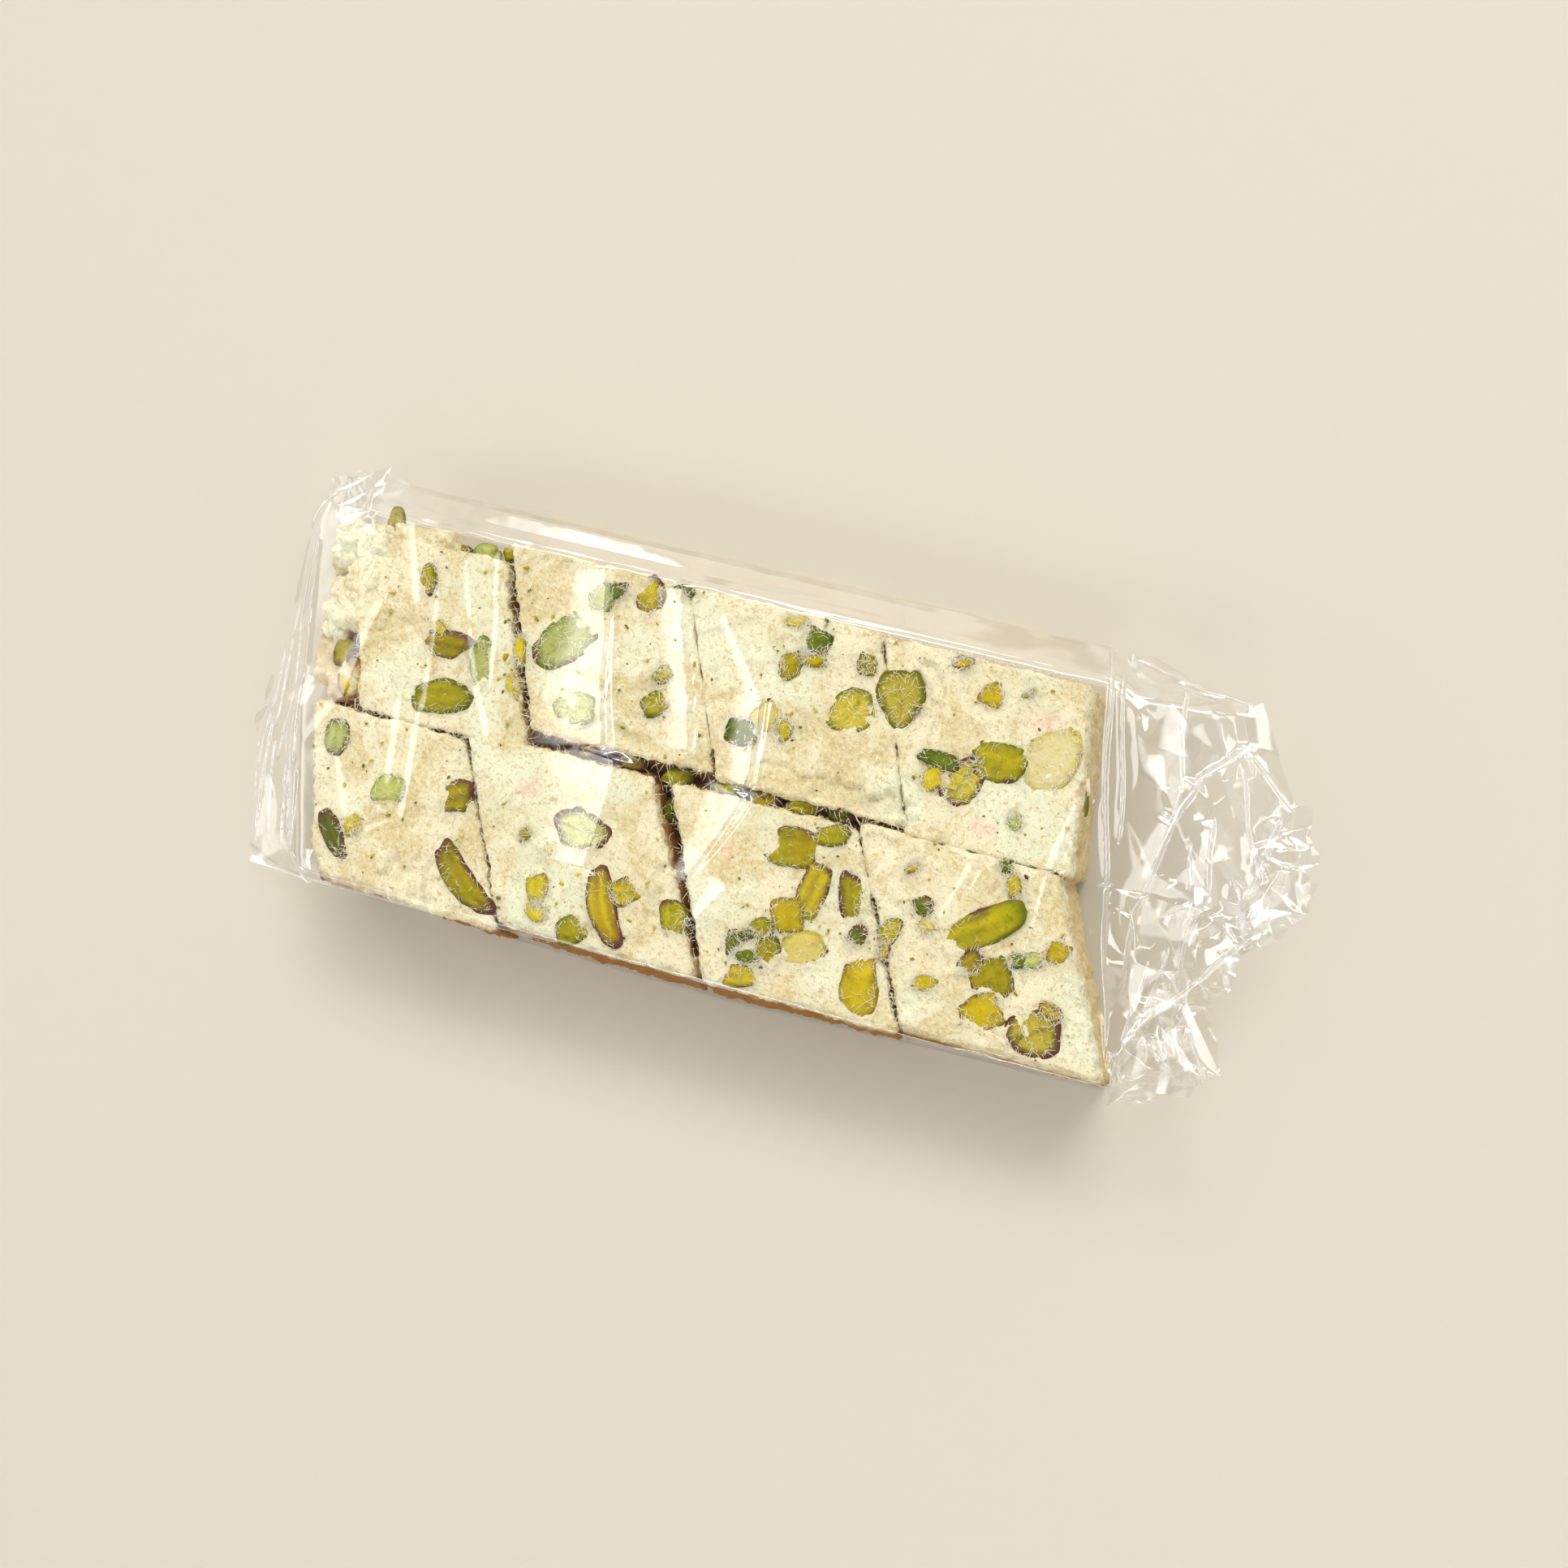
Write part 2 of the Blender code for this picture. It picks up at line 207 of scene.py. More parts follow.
def cut_piece(name, size):
    far_left, far_right, near_left, near_right, y_far, y_near = (v * MM for v in size)
    middle = (y_far + y_near) / 2
    height = (SLAB_TOP + SLAB_UNDER) / 2
    bpy.ops.object.select_all(action="DESELECT")
    bpy.ops.mesh.primitive_cube_add(
        size=1, location=(0, middle, height), scale=(MM, y_far - y_near, SLAB_TOP - SLAB_UNDER)
    )
    piece = bpy.context.object
    piece.name = piece.data.name = name
    bpy.ops.object.transform_apply(location=True, rotation=False, scale=True)
    begin_edit(piece)
    for is_far, left, right in ((True, far_left, far_right), (False, near_left, near_right)):
        pick(piece, "VERT", lambda v: (v.co.y > middle) == is_far)
        bpy.ops.transform.resize(value=((right - left) / MM, 1, 1), center_override=(0, middle, 0))
        bpy.ops.transform.translate(value=((left + right) / 2, 0, 0))
    pick(piece, "EDGE", lambda e: abs(e.verts[0].co.z - e.verts[1].co.z) > MM)
    bpy.ops.mesh.bevel(offset=CORNER_CUT, segments=2, affect="EDGES")
    pick(piece, "EDGE", lambda e: min(v.co.z for v in e.verts) > SLAB_TOP - MM)
    bpy.ops.mesh.bevel(offset=EDGE_CUT, segments=2, affect="EDGES")
    end_edit()
    return piece


def along_points(points, at, column=1):
    """One column of a list of points at each of many places, in metres."""
    table = np.array(points, float) * MM
    return np.interp(at, table[:, 0], table[:, column])


def from_sides(x, y):
    """How far inside the whole slab's outline a place is."""
    left, right = along_points(LEFT_SIDE, y), along_points(RIGHT_SIDE, y)
    return np.minimum.reduce([x - left, right - x, y - NEAR_Y, FAR_Y - y])


def spread_foot(points):
    """Moves the near side and the right end outwards towards the table."""
    x, y = points[:, 0].copy(), points[:, 1].copy()
    down = np.clip(1 - points[:, 2] / SLAB_TOP, 0, 1) ** 0.8
    nearness = np.clip((SPREAD_FROM - y) / SPREAD_FADE, 0, 1)
    points[:, 1] -= along_points(NEAR_SPREAD, x) * down * nearness
    inside = along_points(RIGHT_SIDE, y) - x
    points[:, 0] += RIGHT_SPREAD * down * np.clip(1.2 - inside / SPREAD_FADE, 0, 1)


def grain_walls(piece):
    """Roughens a piece, most of all on its cut walls, and sets its foot out."""
    even_mesh(piece)
    apply_all(piece)
    normals, points = normals_of(piece.data), points_of(piece.data)
    # lower down, the cuts inside the slab close
    down = SLAB_TOP - points[:, 2]
    fill = np.clip((down - CUT_OPEN) / (CUT_CLOSED - CUT_OPEN), 0, 1)
    fill *= np.clip(from_sides(points[:, 0], points[:, 1]) / (2 * MM), 0, 1) * CUT_FILL
    points[:, :2] += normals[:, :2] * fill[:, None]
    spread_foot(points)
    set_points(piece.data, points)
    walls = np.clip(1.2 - np.abs(normals[:, 2]) * 1.5, 0, 1) * (points[:, 2] > 2 * MM)
    group_of(piece, "walls", walls)
    for grain, depth, where in HALVA_ROUGH:
        roughen(piece, grain * MM, depth * MM, where)
    apply_all(piece)


halva_pieces = []
for piece_name, piece_size in PIECES.items():
    halva_piece = cut_piece(f"halva_{piece_name}", piece_size)
    grain_walls(halva_piece)
    halva_pieces.append(halva_piece)


def crumbled_lump(number, place, half_sizes):
    bpy.ops.object.select_all(action="DESELECT")
    bpy.ops.mesh.primitive_cube_add(
        size=2, location=[v * MM for v in place], scale=[v * MM for v in half_sizes]
    )
    lump = bpy.context.object
    lump.name = lump.data.name = f"halva_lump_{number}"
    bpy.ops.object.transform_apply(location=True, rotation=False, scale=True)
    begin_edit(lump)
    bpy.ops.mesh.select_all(action="SELECT")
    bpy.ops.mesh.bevel(offset=min(half_sizes) * LUMP_BLUNT * MM, segments=2, affect="EDGES")
    end_edit()
    even_mesh(lump)
    for grain, depth in LUMP_ROUGH:
        roughen(lump, grain * MM, depth * MM)
    apply_all(lump)
    points = points_of(lump.data)
    points[:, 2] = np.maximum(points[:, 2], SLAB_UNDER)
    set_points(lump.data, points)
    return lump


for lump_number, (lump_place, lump_size) in enumerate(LUMPS):
    halva_pieces.append(crumbled_lump(lump_number, lump_place, lump_size))

# ---------------------------------------------------------------------------
# The pistachios. Shelled kernels stirred into the warm halva: whole ones, ones
# sliced through flat when the slab was cut, and broken bits. Each lies in its
# own socket in the top, some with their purple skin still on.
# the kernels' colours, each as the flesh inside and the rind round it
GREEN, OLIVE, YELLOW, PALE, AMBER, MISTY, DARK, LENS, IVORY = (
    (paint(200, 182, 16), paint(96, 114, 0)),
    (paint(192, 172, 6), paint(104, 108, 0)),
    (paint(228, 206, 40), paint(178, 162, 0)),
    (paint(240, 220, 124), paint(204, 184, 66)),
    (paint(214, 188, 16), paint(160, 140, 0)),
    (paint(204, 206, 120), paint(120, 144, 48)),
    (paint(118, 130, 4), paint(34, 60, 0)),
    (paint(212, 192, 66), paint(116, 122, 2)),
    (paint(250, 236, 176), paint(232, 216, 124)),
)
SKIN = paint(98, 50, 46)
# olive painted shade, in patches towards a kernel's rim
RIM_SHADE_OLIVE = paint(134, 104, 0)
# x, y, length, width in millimetres, turn in degrees, colours, amount of skin, how cut
SLICED = [
    (-32.8, 19.5, 11.2, 7.6, 50, MISTY, 0.3, "slice"),
    (-27.7, 8.1, 7.2, 5.8, 5, MISTY, 0.0, "slice"),
    (23.9, 19.6, 8.0, 7.2, 60, LENS, 0.1, "slice"),
    (31.9, 23.9, 9.6, 7.8, 100, LENS, 0.1, "slice"),
    (46.7, 12.1, 8.0, 6.2, 60, LENS, 0.6, "slice"),
    (61.1, 20.0, 11.2, 8.6, 55, IVORY, 0.0, "slice"),
    (-20.1, -14.0, 10.0, 6.8, -10, MISTY, 0.5, "slice"),
    (25.9, -24.7, 7.6, 6.2, 20, PALE, 0.1, "split"),
    (69.6, -28.1, 8.6, 8.0, 20, LENS, 0.8, "slice"),
]
WHOLE = [
    (-55.4, 13.7, 9.4, 4.8, 5, OLIVE, 0.5, "both"),
    (-47.4, 11.8, 9.2, 4.2, 105, MISTY, 0.1, "split"),
    (-53.5, 4.0, 10.6, 6.0, 15, GREEN, 0.2, "egg"),
    (-18.6, 32.0, 6.4, 5.0, 110, YELLOW, 0.8, "one"),
    (-12.1, 12.7, 5.4, 4.0, 35, GREEN, 0.2, "split"),
    (13.9, 30.7, 5.8, 4.4, -10, DARK, 0.1, "one"),
    (10.6, 25.3, 5.2, 3.8, 100, OLIVE, 0.2, "one"),
    (5.2, 11.1, 6.2, 4.6, 10, DARK, 0.2, "both"),
    (41.3, 14.9, 7.0, 3.0, -4, DARK, 0.2, "egg"),
    (52.2, 17.1, 9.2, 6.6, 5, GREEN, 0.3, "both"),
    (-71.9, -8.4, 6.4, 4.4, 100, MISTY, 0.4, "egg"),
    (-59.0, -15.9, 6.6, 5.6, 60, MISTY, 0.2, "one"),
    (-67.6, -26.9, 9.0, 3.8, -50, DARK, 0.6, "egg"),
    (-45.6, -13.8, 6.6, 5.6, 30, OLIVE, 0.5, "both"),
    (-40.3, -28.9, 14.6, 5.2, -38, OLIVE, 0.5, "bent"),
    (-12.6, -26.6, 13.6, 5.0, -62, AMBER, 0.85, "bent"),
    (19.8, -7.0, 10.2, 6.8, 12, OLIVE, 0.3, "both"),
    (21.6, -19.2, 6.2, 5.4, 120, AMBER, 0.1, "both"),
    (25.0, -13.8, 8.8, 5.0, 84, YELLOW, 0.5, "egg"),
    (32.7, -13.1, 8.8, 4.8, 112, GREEN, 0.4, "split"),
    (16.4, -28.3, 4.2, 2.4, 10, DARK, 0.1, "egg"),
    (40.4, -17.4, 5.4, 3.2, 70, GREEN, 0.1, "split"),
    (55.8, -12.9, 16.0, 6.0, 40, GREEN, 0.35, "egg"),
    (45.2, -11.5, 3.8, 3.6, 30, DARK, 0.6, "one"),
    (55.8, -19.2, 5.0, 3.4, 60, OLIVE, 0.4, "one"),
    (60.1, -20.9, 8.0, 7.0, -50, OLIVE, 0.4, "both"),
    (60.3, -26.9, 7.0, 6.0, 40, AMBER, 0.3, "both"),
]
BROKEN = [
    (-62.0, 25.0, 5.6, 3.0, 95, OLIVE, 0.4, "split"),
    (-56.6, 16.4, 4.4, 2.6, 150, YELLOW, 0.1, "split"),
    (-40.2, 9.1, 4.8, 2.4, 110, YELLOW, 0.3, "split"),
    (-27.8, 29.4, 5.6, 4.4, 100, MISTY, 0.1, "one"),
    (-24.8, 31.3, 4.2, 2.6, 30, DARK, 0.3, "both"),
    (-12.6, 18.0, 4.2, 3.0, 35, GREEN, 0.1, "split"),
    (-40.6, 16.2, 5.4, 2.0, 104, YELLOW, 0.2, "both"),
    (-12.6, 34.2, 3.8, 2.2, 10, DARK, 0.1, "one"),
    (14.5, 27.6, 5.0, 3.0, 5, AMBER, 0.1, "split"),
    (24.4, 29.0, 4.0, 3.4, 100, OLIVE, 0.1, "split"),
    (8.8, 15.0, 5.6, 4.8, 40, PALE, 0.0, "both"),
    (12.3, 13.6, 3.6, 3.2, 60, YELLOW, 0.2, "both"),
    (10.1, 33.6, 4.6, 2.2, 5, PALE, 0.0, "both"),
    (41.0, 11.3, 4.6, 3.4, 40, YELLOW, 0.2, "both"),
    (41.3, 33.2, 3.6, 2.2, 10, AMBER, 0.5, "split"),
    (48.3, 28.8, 4.8, 4.0, 60, AMBER, 0.1, "both"),
    (54.2, 30.4, 3.2, 1.0, 45, GREEN, 0.0, "split"),
    (57.2, 8.0, 4.0, 2.2, 110, MISTY, 0.1, "one"),
    (-64.2, -24.1, 4.2, 3.6, 60, YELLOW, 0.1, "split"),
    (-9.3, -23.0, 5.0, 4.4, 40, YELLOW, 0.3, "both"),
    (1.2, -25.2, 6.0, 4.6, 104, GREEN, 0.3, "both"),
    (-16.9, -32.0, 6.0, 4.8, 30, GREEN, 0.1, "one"),
    (-25.6, -26.6, 5.2, 3.8, 104, YELLOW, 0.1, "both"),
    (-24.6, -30.6, 4.4, 3.4, 160, YELLOW, 0.1, "split"),
    (-30.3, -17.0, 2.4, 2.0, 60, GREEN, 0.1, "one"),
    (-24.9, -18.7, 2.2, 2.0, 20, YELLOW, 0.1, "one"),
    (25.9, -3.2, 6.2, 3.6, 15, GREEN, 0.1, "both"),
    (17.5, -22.9, 4.6, 3.6, 30, OLIVE, 0.3, "split"),
    (15.4, -24.5, 3.8, 2.2, 20, DARK, 1.0, "one"),
    (13.1, -26.6, 4.6, 2.4, 100, DARK, 1.0, "one"),
    (20.0, -27.0, 5.8, 4.4, 110, OLIVE, 0.2, "split"),
    (16.2, -32.0, 6.2, 4.0, 10, YELLOW, 0.4, "both"),
    (37.6, -28.6, 10.2, 6.2, 100, AMBER, 0.3, "both"),
    (34.9, -19.8, 4.2, 3.0, 70, DARK, 1.0, "one"),
    (40.1, -21.0, 3.2, 2.2, 80, YELLOW, 0.6, "split"),
    (46.8, -14.6, 3.0, 2.2, -30, PALE, 0.0, "both"),
    (48.9, -24.5, 4.4, 2.8, 0, AMBER, 0.2, "both"),
    (63.7, -16.6, 4.0, 2.4, 20, DARK, 0.1, "one"),
    (66.5, -15.7, 4.2, 2.6, 20, MISTY, 0.1, "one"),
    (70.7, -13.1, 4.0, 3.4, 10, AMBER, 0.1, "both"),
    (71.8, -23.6, 4.4, 2.6, -30, AMBER, 0.8, "split"),
    (60.0, -3.4, 4.2, 2.2, 110, AMBER, 0.3, "both"),
    (57.5, -0.8, 2.4, 2.2, 10, DARK, 0.1, "one"),
    (41.7, -4.9, 2.8, 1.8, 50, AMBER, 0.4, "split"),
]
# kernels that show in the walls and the cuts: the same with the height after x and y
BURIED = [
    (-73.5, 34.0, 13.0, 8.2, 3.6, 100, OLIVE, 0.3, "egg"),
    (-76.5, 8.0, 14.6, 7.0, 3.8, 95, OLIVE, 0.4, "both"),
    (-74.0, 2.0, 15.6, 5.0, 3.4, 110, AMBER, 0.3, "one"),
    (-52.9, 32.8, 14.5, 6.0, 4.0, 10, MISTY, 0.1, "one"),
    (-48.2, 33.6, 15.0, 4.6, 3.0, 20, GREEN, 0.1, "one"),
    (-59.0, 32.0, 13.0, 5.0, 3.0, 0, OLIVE, 0.5, "both"),
    (-67.0, 32.0, 12.5, 4.6, 3.0, 0, OLIVE, 0.8, "both"),
    (-6.0, 0.4, 14.5, 7.0, 4.0, 0, GREEN, 0.3, "both"),
    (-24.0, 0.6, 13.0, 6.0, 4.0, 10, AMBER, 0.5, "both"),
    (-15.0, 0.8, 13.5, 6.0, 3.6, 0, OLIVE, 0.5, "one"),
    (4.0, 0.4, 14.6, 8.0, 4.2, 0, GREEN, 0.3, "both"),
    (11.4, 0.4, 15.0, 7.0, 4.0, -5, OLIVE, 0.3, "split"),
    (19.0, 0.6, 14.8, 8.0, 3.6, 4, GREEN, 0.4, "both"),
    (26.0, 0.6, 14.6, 6.0, 3.4, 0, DARK, 0.4, "both"),
    (-5.6, -6.0, 13.0, 5.0, 3.6, 100, DARK, 0.3, "egg"),
    (-40.6, 2.6, 14.0, 5.4, 3.4, -10, GREEN, 0.3, "one"),
    (30.0, -33.4, 11.0, 8.0, 4.0, 0, YELLOW, 0.2, "both"),
    (-30.0, -33.7, 12.0, 7.0, 4.0, 0, OLIVE, 0.2, "one"),
    (-12.0, -33.9, 11.0, 9.0, 4.0, 0, OLIVE, 0.3, "both"),
    (0.0, -34.1, 10.0, 7.0, 4.0, 5, GREEN, 0.2, "one"),
    (62.0, -32.3, 9.0, 8.0, 4.0, 0, GREEN, 0.2, "both"),
    (74.6, -19.0, 12.0, 6.0, 4.0, 115, YELLOW, 0.2, "one"),
    (67.2, 14.0, 12.0, 7.0, 4.0, 98, OLIVE, 0.2, "both"),
]
# half the height of a kernel that lies in the top, and how far its middle is sunk
KERNEL_HALF_HEIGHT = 1.15 * MM
KERNEL_SUNK = 0.28
BURIED_HALF_HEIGHT = 2.0 * MM
SLICED_PROUD = 0.12 * MM
SOCKET_GAP = 0.35 * MM
SOCKET_DEEP = 0.25 * MM
# how strongly the gap round a kernel is painted with brown shade
SOCKET_SHADE = 0.45
# how strongly the near wall's lower part is painted with brown shade
NEAR_WALL_SHADE = 0.9
KERNEL_BLUNT = 0.80
# past each of these places along it the kernel is narrowed by so much
KERNEL_TAPER = ((0.1, 0.94), (0.5, 0.88), (-0.7, 0.93))
KERNEL_CREASE = 0.10
# kernels are placed a little larger than their outlines, as the halva covers their edges
KERNEL_GROWTH = 1.21
KERNEL_CUTS = 12
FLAT_CUT = 0.30
# how a kernel is cut, on the unit kernel: a place on each plane, and the way it faces
KNIFE = {
    "egg": [],
    "bent": [],
    "slice": [((0, 0, FLAT_CUT), (0, 0, 1))],
    "one": [((0.52, 0, 0), (1, 0.2, 0.5))],
    "both": [((0.76, 0, 0), (1, -0.1, 0.4)), ((-0.80, 0, 0), (-1, 0.15, 0.2))],
    "split": [((0, 0.1, 0.55), (0.1, 0.5, 1)), ((0.72, 0, 0), (1, -0.2, 0.3))],
}
# how squarish each cut makes the outline: 2 is round, more is squarer
SQUARE = {"egg": 2.3, "bent": 2.5, "slice": 2.1, "one": 2.3, "both": 2.6, "split": 2.2}
# how unevenly a kernel breaks: the tilt of the break, and the waves along it and their size
KNIFE_SWAY = (0.08, 0.22, 0.15)
BREAK_WAVES = [(2.6, 0.09), (5.3, 0.05), (9.1, 0.03)]
# how far in from its outline a kernel is greener and darker, partly its rind and partly painted
# shade, and in how many ways round that is told
CONTOUR = (0.62, 0.95)
WAYS_ROUND = 40
# where the green rim of a sliced kernel begins and how wide it is, and its seam's half
# width and length
SLICE_RIM = (0.68, 0.26)
SLICE_SEAM = (0.08, 0.62)
# how much of the rind's green shows on a break, and how much the shade of kernels varies
BREAK_RIND = 0.12
KERNEL_SHADES = (0.78, 1.04)
# the kernels' edges are worn round, and their skins left uneven
KERNEL_WORN = (0.5, 3)
KERNEL_GRAIN, KERNEL_ROUGH = 1.1 * MM, 0.30 * MM
# how lopsided an outline grows: waves round it, and their size
LOPSIDED = [(2, 0.06), (3, 0.08), (4, 0.04), (5, 0.045), (8, 0.022), (11, 0.014)]
RIDGE_HIGH = 0.08
BEND = 0.55


def kernel():
    """A pistachio kernel of unit size: long along X, narrower at one end, and creased
    along its top."""
    bpy.ops.object.select_all(action="DESELECT")
    bpy.ops.mesh.primitive_cube_add(size=2)
    nut = bpy.context.object
    begin_edit(nut)
    bpy.ops.mesh.select_all(action="SELECT")
    bpy.ops.mesh.subdivide(number_cuts=KERNEL_CUTS)
    bpy.ops.transform.tosphere(value=KERNEL_BLUNT)
    for start, narrower in KERNEL_TAPER:
        pick(nut, "VERT", lambda v: v.co.x > start if start > 0 else v.co.x < start)
        bpy.ops.transform.resize(value=(1, narrower, 1), center_override=(0, 0, 0))
    pick(nut, "VERT", lambda v: abs(v.co.y) < 0.12 and v.co.z > 0.2 and abs(v.co.x) < 0.8)
    bpy.ops.transform.translate(value=(0, 0, -KERNEL_CREASE))
    end_edit()
    points = points_of(nut.data)
    set_points(nut.data, points / np.abs(points).max(0))
    return nut


def cut_kernel(points, kind, place, facing, rng):
    """Presses what lies past a cut back onto it, and tells which points that moved. A
    sliced kernel is cut clean, and the others break unevenly."""
    is_clean = kind == "slice"
    sway = Vector([rng.gauss(0, spread_out) for spread_out in KNIFE_SWAY])
    facing = Vector(facing) + sway * (not is_clean)
    facing = np.array(facing.normalized())
    past = (points - np.array(place)) @ facing
    for waves, size in () if is_clean else BREAK_WAVES:
        phase = rng.uniform(0, 2 * math.pi)
        past += size * np.sin(waves * (points[:, 1] + 0.6 * points[:, 2]) + phase)
    points -= np.clip(past, 0, None)[:, None] * facing
    return past > 0


def slice_marks(points, outline):
    """The rim and the seam that show on the flat face of a sliced kernel."""
    reach = np.hypot(points[:, 0], points[:, 1]) / outline
    rim = np.clip((reach - SLICE_RIM[0]) / SLICE_RIM[1], 0, 1)
    bent = 0.1 * np.sin(points[:, 0] * 3)
    seam = np.clip(1 - np.abs(points[:, 1] - bent) / SLICE_SEAM[0], 0, 1)
    return rim, seam * (np.abs(points[:, 0]) < SLICE_SEAM[1])


def near_outline(points):
    """How near each point is to the outline, from the farthest point each way round."""
    around = np.arctan2(points[:, 1], points[:, 0]) / (2 * math.pi) + 0.5
    ways = np.floor(around * WAYS_ROUND).astype(int) % WAYS_ROUND
    reach = np.hypot(points[:, 0], points[:, 1])
    farthest = np.zeros(WAYS_ROUND)
    np.maximum.at(farthest, ways, reach)
    return np.clip((reach / farthest[ways] - CONTOUR[0]) / (CONTOUR[1] - CONTOUR[0]), 0, 1)


def grown(points, kind, rng):
    """The unit kernel grown lopsided and ridged, and then cut. Gives its new points, how much of the
    greener rind each shows, which towards the outline is partly painted shade, and how near each is
    to the outline."""
    around = np.arctan2(points[:, 1], points[:, 0])
    power = SQUARE[kind] + rng.uniform(-0.2, 0.4)
    corners = (np.abs(np.cos(around)) ** power + np.abs(np.sin(around)) ** power) ** (-1 / power)
    wobble = np.zeros(len(points))
    for waves, size in LOPSIDED:
        wobble += size * rng.uniform(-1, 1) * np.cos(waves * around + rng.uniform(0, 2 * math.pi))
    outline = corners * (1 + wobble)
    points[:, :2] *= outline[:, None]
    lines = points[:, 1] * rng.uniform(6, 9) + points[:, 0] * rng.uniform(-0.9, 0.9)
    ridges = np.cos(lines + rng.uniform(0, 2 * math.pi) + np.sin(points[:, 0] * 2.2))
    rind = np.clip(1.15 - 1.05 * points[:, 2] - 0.12 * ridges, 0.0, 1)
    points[:, 2] += RIDGE_HIGH * ridges * np.clip(points[:, 2] * 2, 0, 1)
    if kind == "bent":
        points[:, 1] += BEND * (points[:, 0] ** 2 - 0.5)
    for place, facing in KNIFE[kind]:
        is_cut = cut_kernel(points, kind, place, facing, rng)
        if kind == "slice":
            rim, seam = slice_marks(points, outline)
            rind = np.where(is_cut, np.maximum(rim, 0.5 * seam), 1.0)
            points[:, 2] -= np.where(is_cut, 0.05 * rim + 0.06 * seam, 0)
        else:
            rind = np.where(is_cut, BREAK_RIND, rind)
    low, high = points[:, :2].min(0), points[:, :2].max(0)
    points[:, :2] = (points[:, :2] - (low + high) / 2) * 2 / (high - low)
    edge = near_outline(points)
    return points, np.maximum(rind, edge), edge


def set_out(name, data):
    """A new object in the scene."""
    item = bpy.data.objects.new(name, data)
    bpy.context.scene.collection.objects.link(item)
    return item


def join_all(pieces, name):
    bpy.ops.object.select_all(action="DESELECT")
    for piece in pieces:
        piece.select_set(True)
    bpy.context.view_layer.objects.active = pieces[0]
    bpy.ops.object.join()
    pieces[0].name = pieces[0].data.name = name
    return pieces[0]


def mark_points(mesh, label, values):
    """Keeps a number at each point of a mesh, for its finish to read."""
    layer = mesh.attributes.new(label, "FLOAT", "POINT")
    layer.data.foreach_set("value", np.asarray(values, np.float32))


def color_points(mesh, label, colors):
    """Keeps a colour at each point of a mesh, for its finish to read."""
    layer = mesh.attributes.new(label, "FLOAT_COLOR", "POINT")
    layer.data.foreach_set("color", np.asarray(colors, np.float32).ravel())


def place_nuts(name, model, rows, deep, tip):
    """Kernels at their places, each a changed copy of the model, joined into one piece."""
    rng = random.Random(name)
    made = []
    for x, y, z, length, width, turn, (flesh, rind_color), skin, kind in rows:
        nut = set_out(f"{name}_one", model.data.copy())
        mesh = nut.data
        points, rind, edge = grown(points_of(mesh), kind, rng)
        set_points(mesh, points)
        lean = Euler((rng.gauss(0, tip), rng.gauss(0, tip), math.radians(turn)))
        flip = 1 if kind == "bent" or rng.random() < 0.5 else -1
        size = Matrix.Diagonal((flip * length / 2, flip * width / 2, deep, 1))
        mesh.transform(Matrix.Translation((x, y, z)) @ lean.to_matrix().to_4x4() @ size)
        shade = rng.uniform(*KERNEL_SHADES)
        count = len(mesh.vertices)
        for label, color in (("flesh", flesh), ("rind", rind_color)):
            row = [min(1.0, c * shade) for c in color[:3]] + [1.0]
            color_points(mesh, label, [row] * count)
        for label, values in (("rim", rind), ("edge", edge), ("skin", np.full(count, skin))):
            mark_points(mesh, label, values)
        made.append(nut)
    joined = join_all(made, name)
    worn = joined.modifiers.new("worn", "SMOOTH")
    worn.factor, worn.iterations = KERNEL_WORN
    roughen(joined, KERNEL_GRAIN, KERNEL_ROUGH)
    apply_all(joined)
    return joined


def in_top(rows, proud):
    """Rows in millimetres as rows in metres, set in the top of the slab."""
    scale = KERNEL_GROWTH * MM
    return [
        (x * MM, y * MM, SLAB_TOP + proud, length * scale, width * scale, turn, colors, skin, kind)
        for x, y, length, width, turn, colors, skin, kind in rows
    ]


kernel_model = kernel()
slice_height = SLICED_PROUD - FLAT_CUT * KERNEL_HALF_HEIGHT
top_height = -KERNEL_SUNK * KERNEL_HALF_HEIGHT
buried_rows = [
    (x * MM, y * MM, z * MM, length * MM, width * MM, turn, colors, skin, kind)
    for x, y, z, length, width, turn, colors, skin, kind in BURIED
]
# the last number is how far the kernels lie tipped
pistachios = [
    place_nuts(name, kernel_model, rows, deep, tip)
    for name, rows, deep, tip in (
        ("pistachios_sliced", in_top(SLICED, slice_height), KERNEL_HALF_HEIGHT, 0.02),
        ("pistachios_whole", in_top(WHOLE, top_height), KERNEL_HALF_HEIGHT, 0.05),
        ("pistachios_broken", in_top(BROKEN, top_height), KERNEL_HALF_HEIGHT, 0.10),
        ("pistachios_buried", buried_rows, BURIED_HALF_HEIGHT, 0.3),
    )
]
bpy.data.objects.remove(kernel_model, do_unlink=True)


# The top of the halva round them: rosy stains by place and half sizes, and flakes by
# size, how rare they are, how soft their edge is, and depth
STAINS = [
    (58.0, 26.0, 3.4, 2.0),
    (7.9, -10.4, 1.8, 1.6),
    (52.0, 5.0, 2.6, 1.6),
    (-32.0, -9.0, 2.6, 2.0),
]
FLAKES = [(8.0, 0.5, 0.10, 1.0), (3.5, 1.2, 0.15, 0.8)]
FLAKE_DEEP = 0.26 * MM
# the halva turns sugar-white this near a kernel
FROST_REACH = 1.6 * MM
# a cut is painted with brown shade from this deep, over so much more depth, and this far inside the
# slab
CUT_SHADE_FROM, CUT_SHADE_OVER, CUT_SHADE_IN = 0.9 * MM, 2.6 * MM, 2.0 * MM
# the slab's own near wall is painted with brown shade past this y, below this much of the top
NEAR_WALL_Y = -34.0 * MM
NEAR_WALL_FROM, NEAR_WALL_OVER = 1.0 * MM, 3.0 * MM


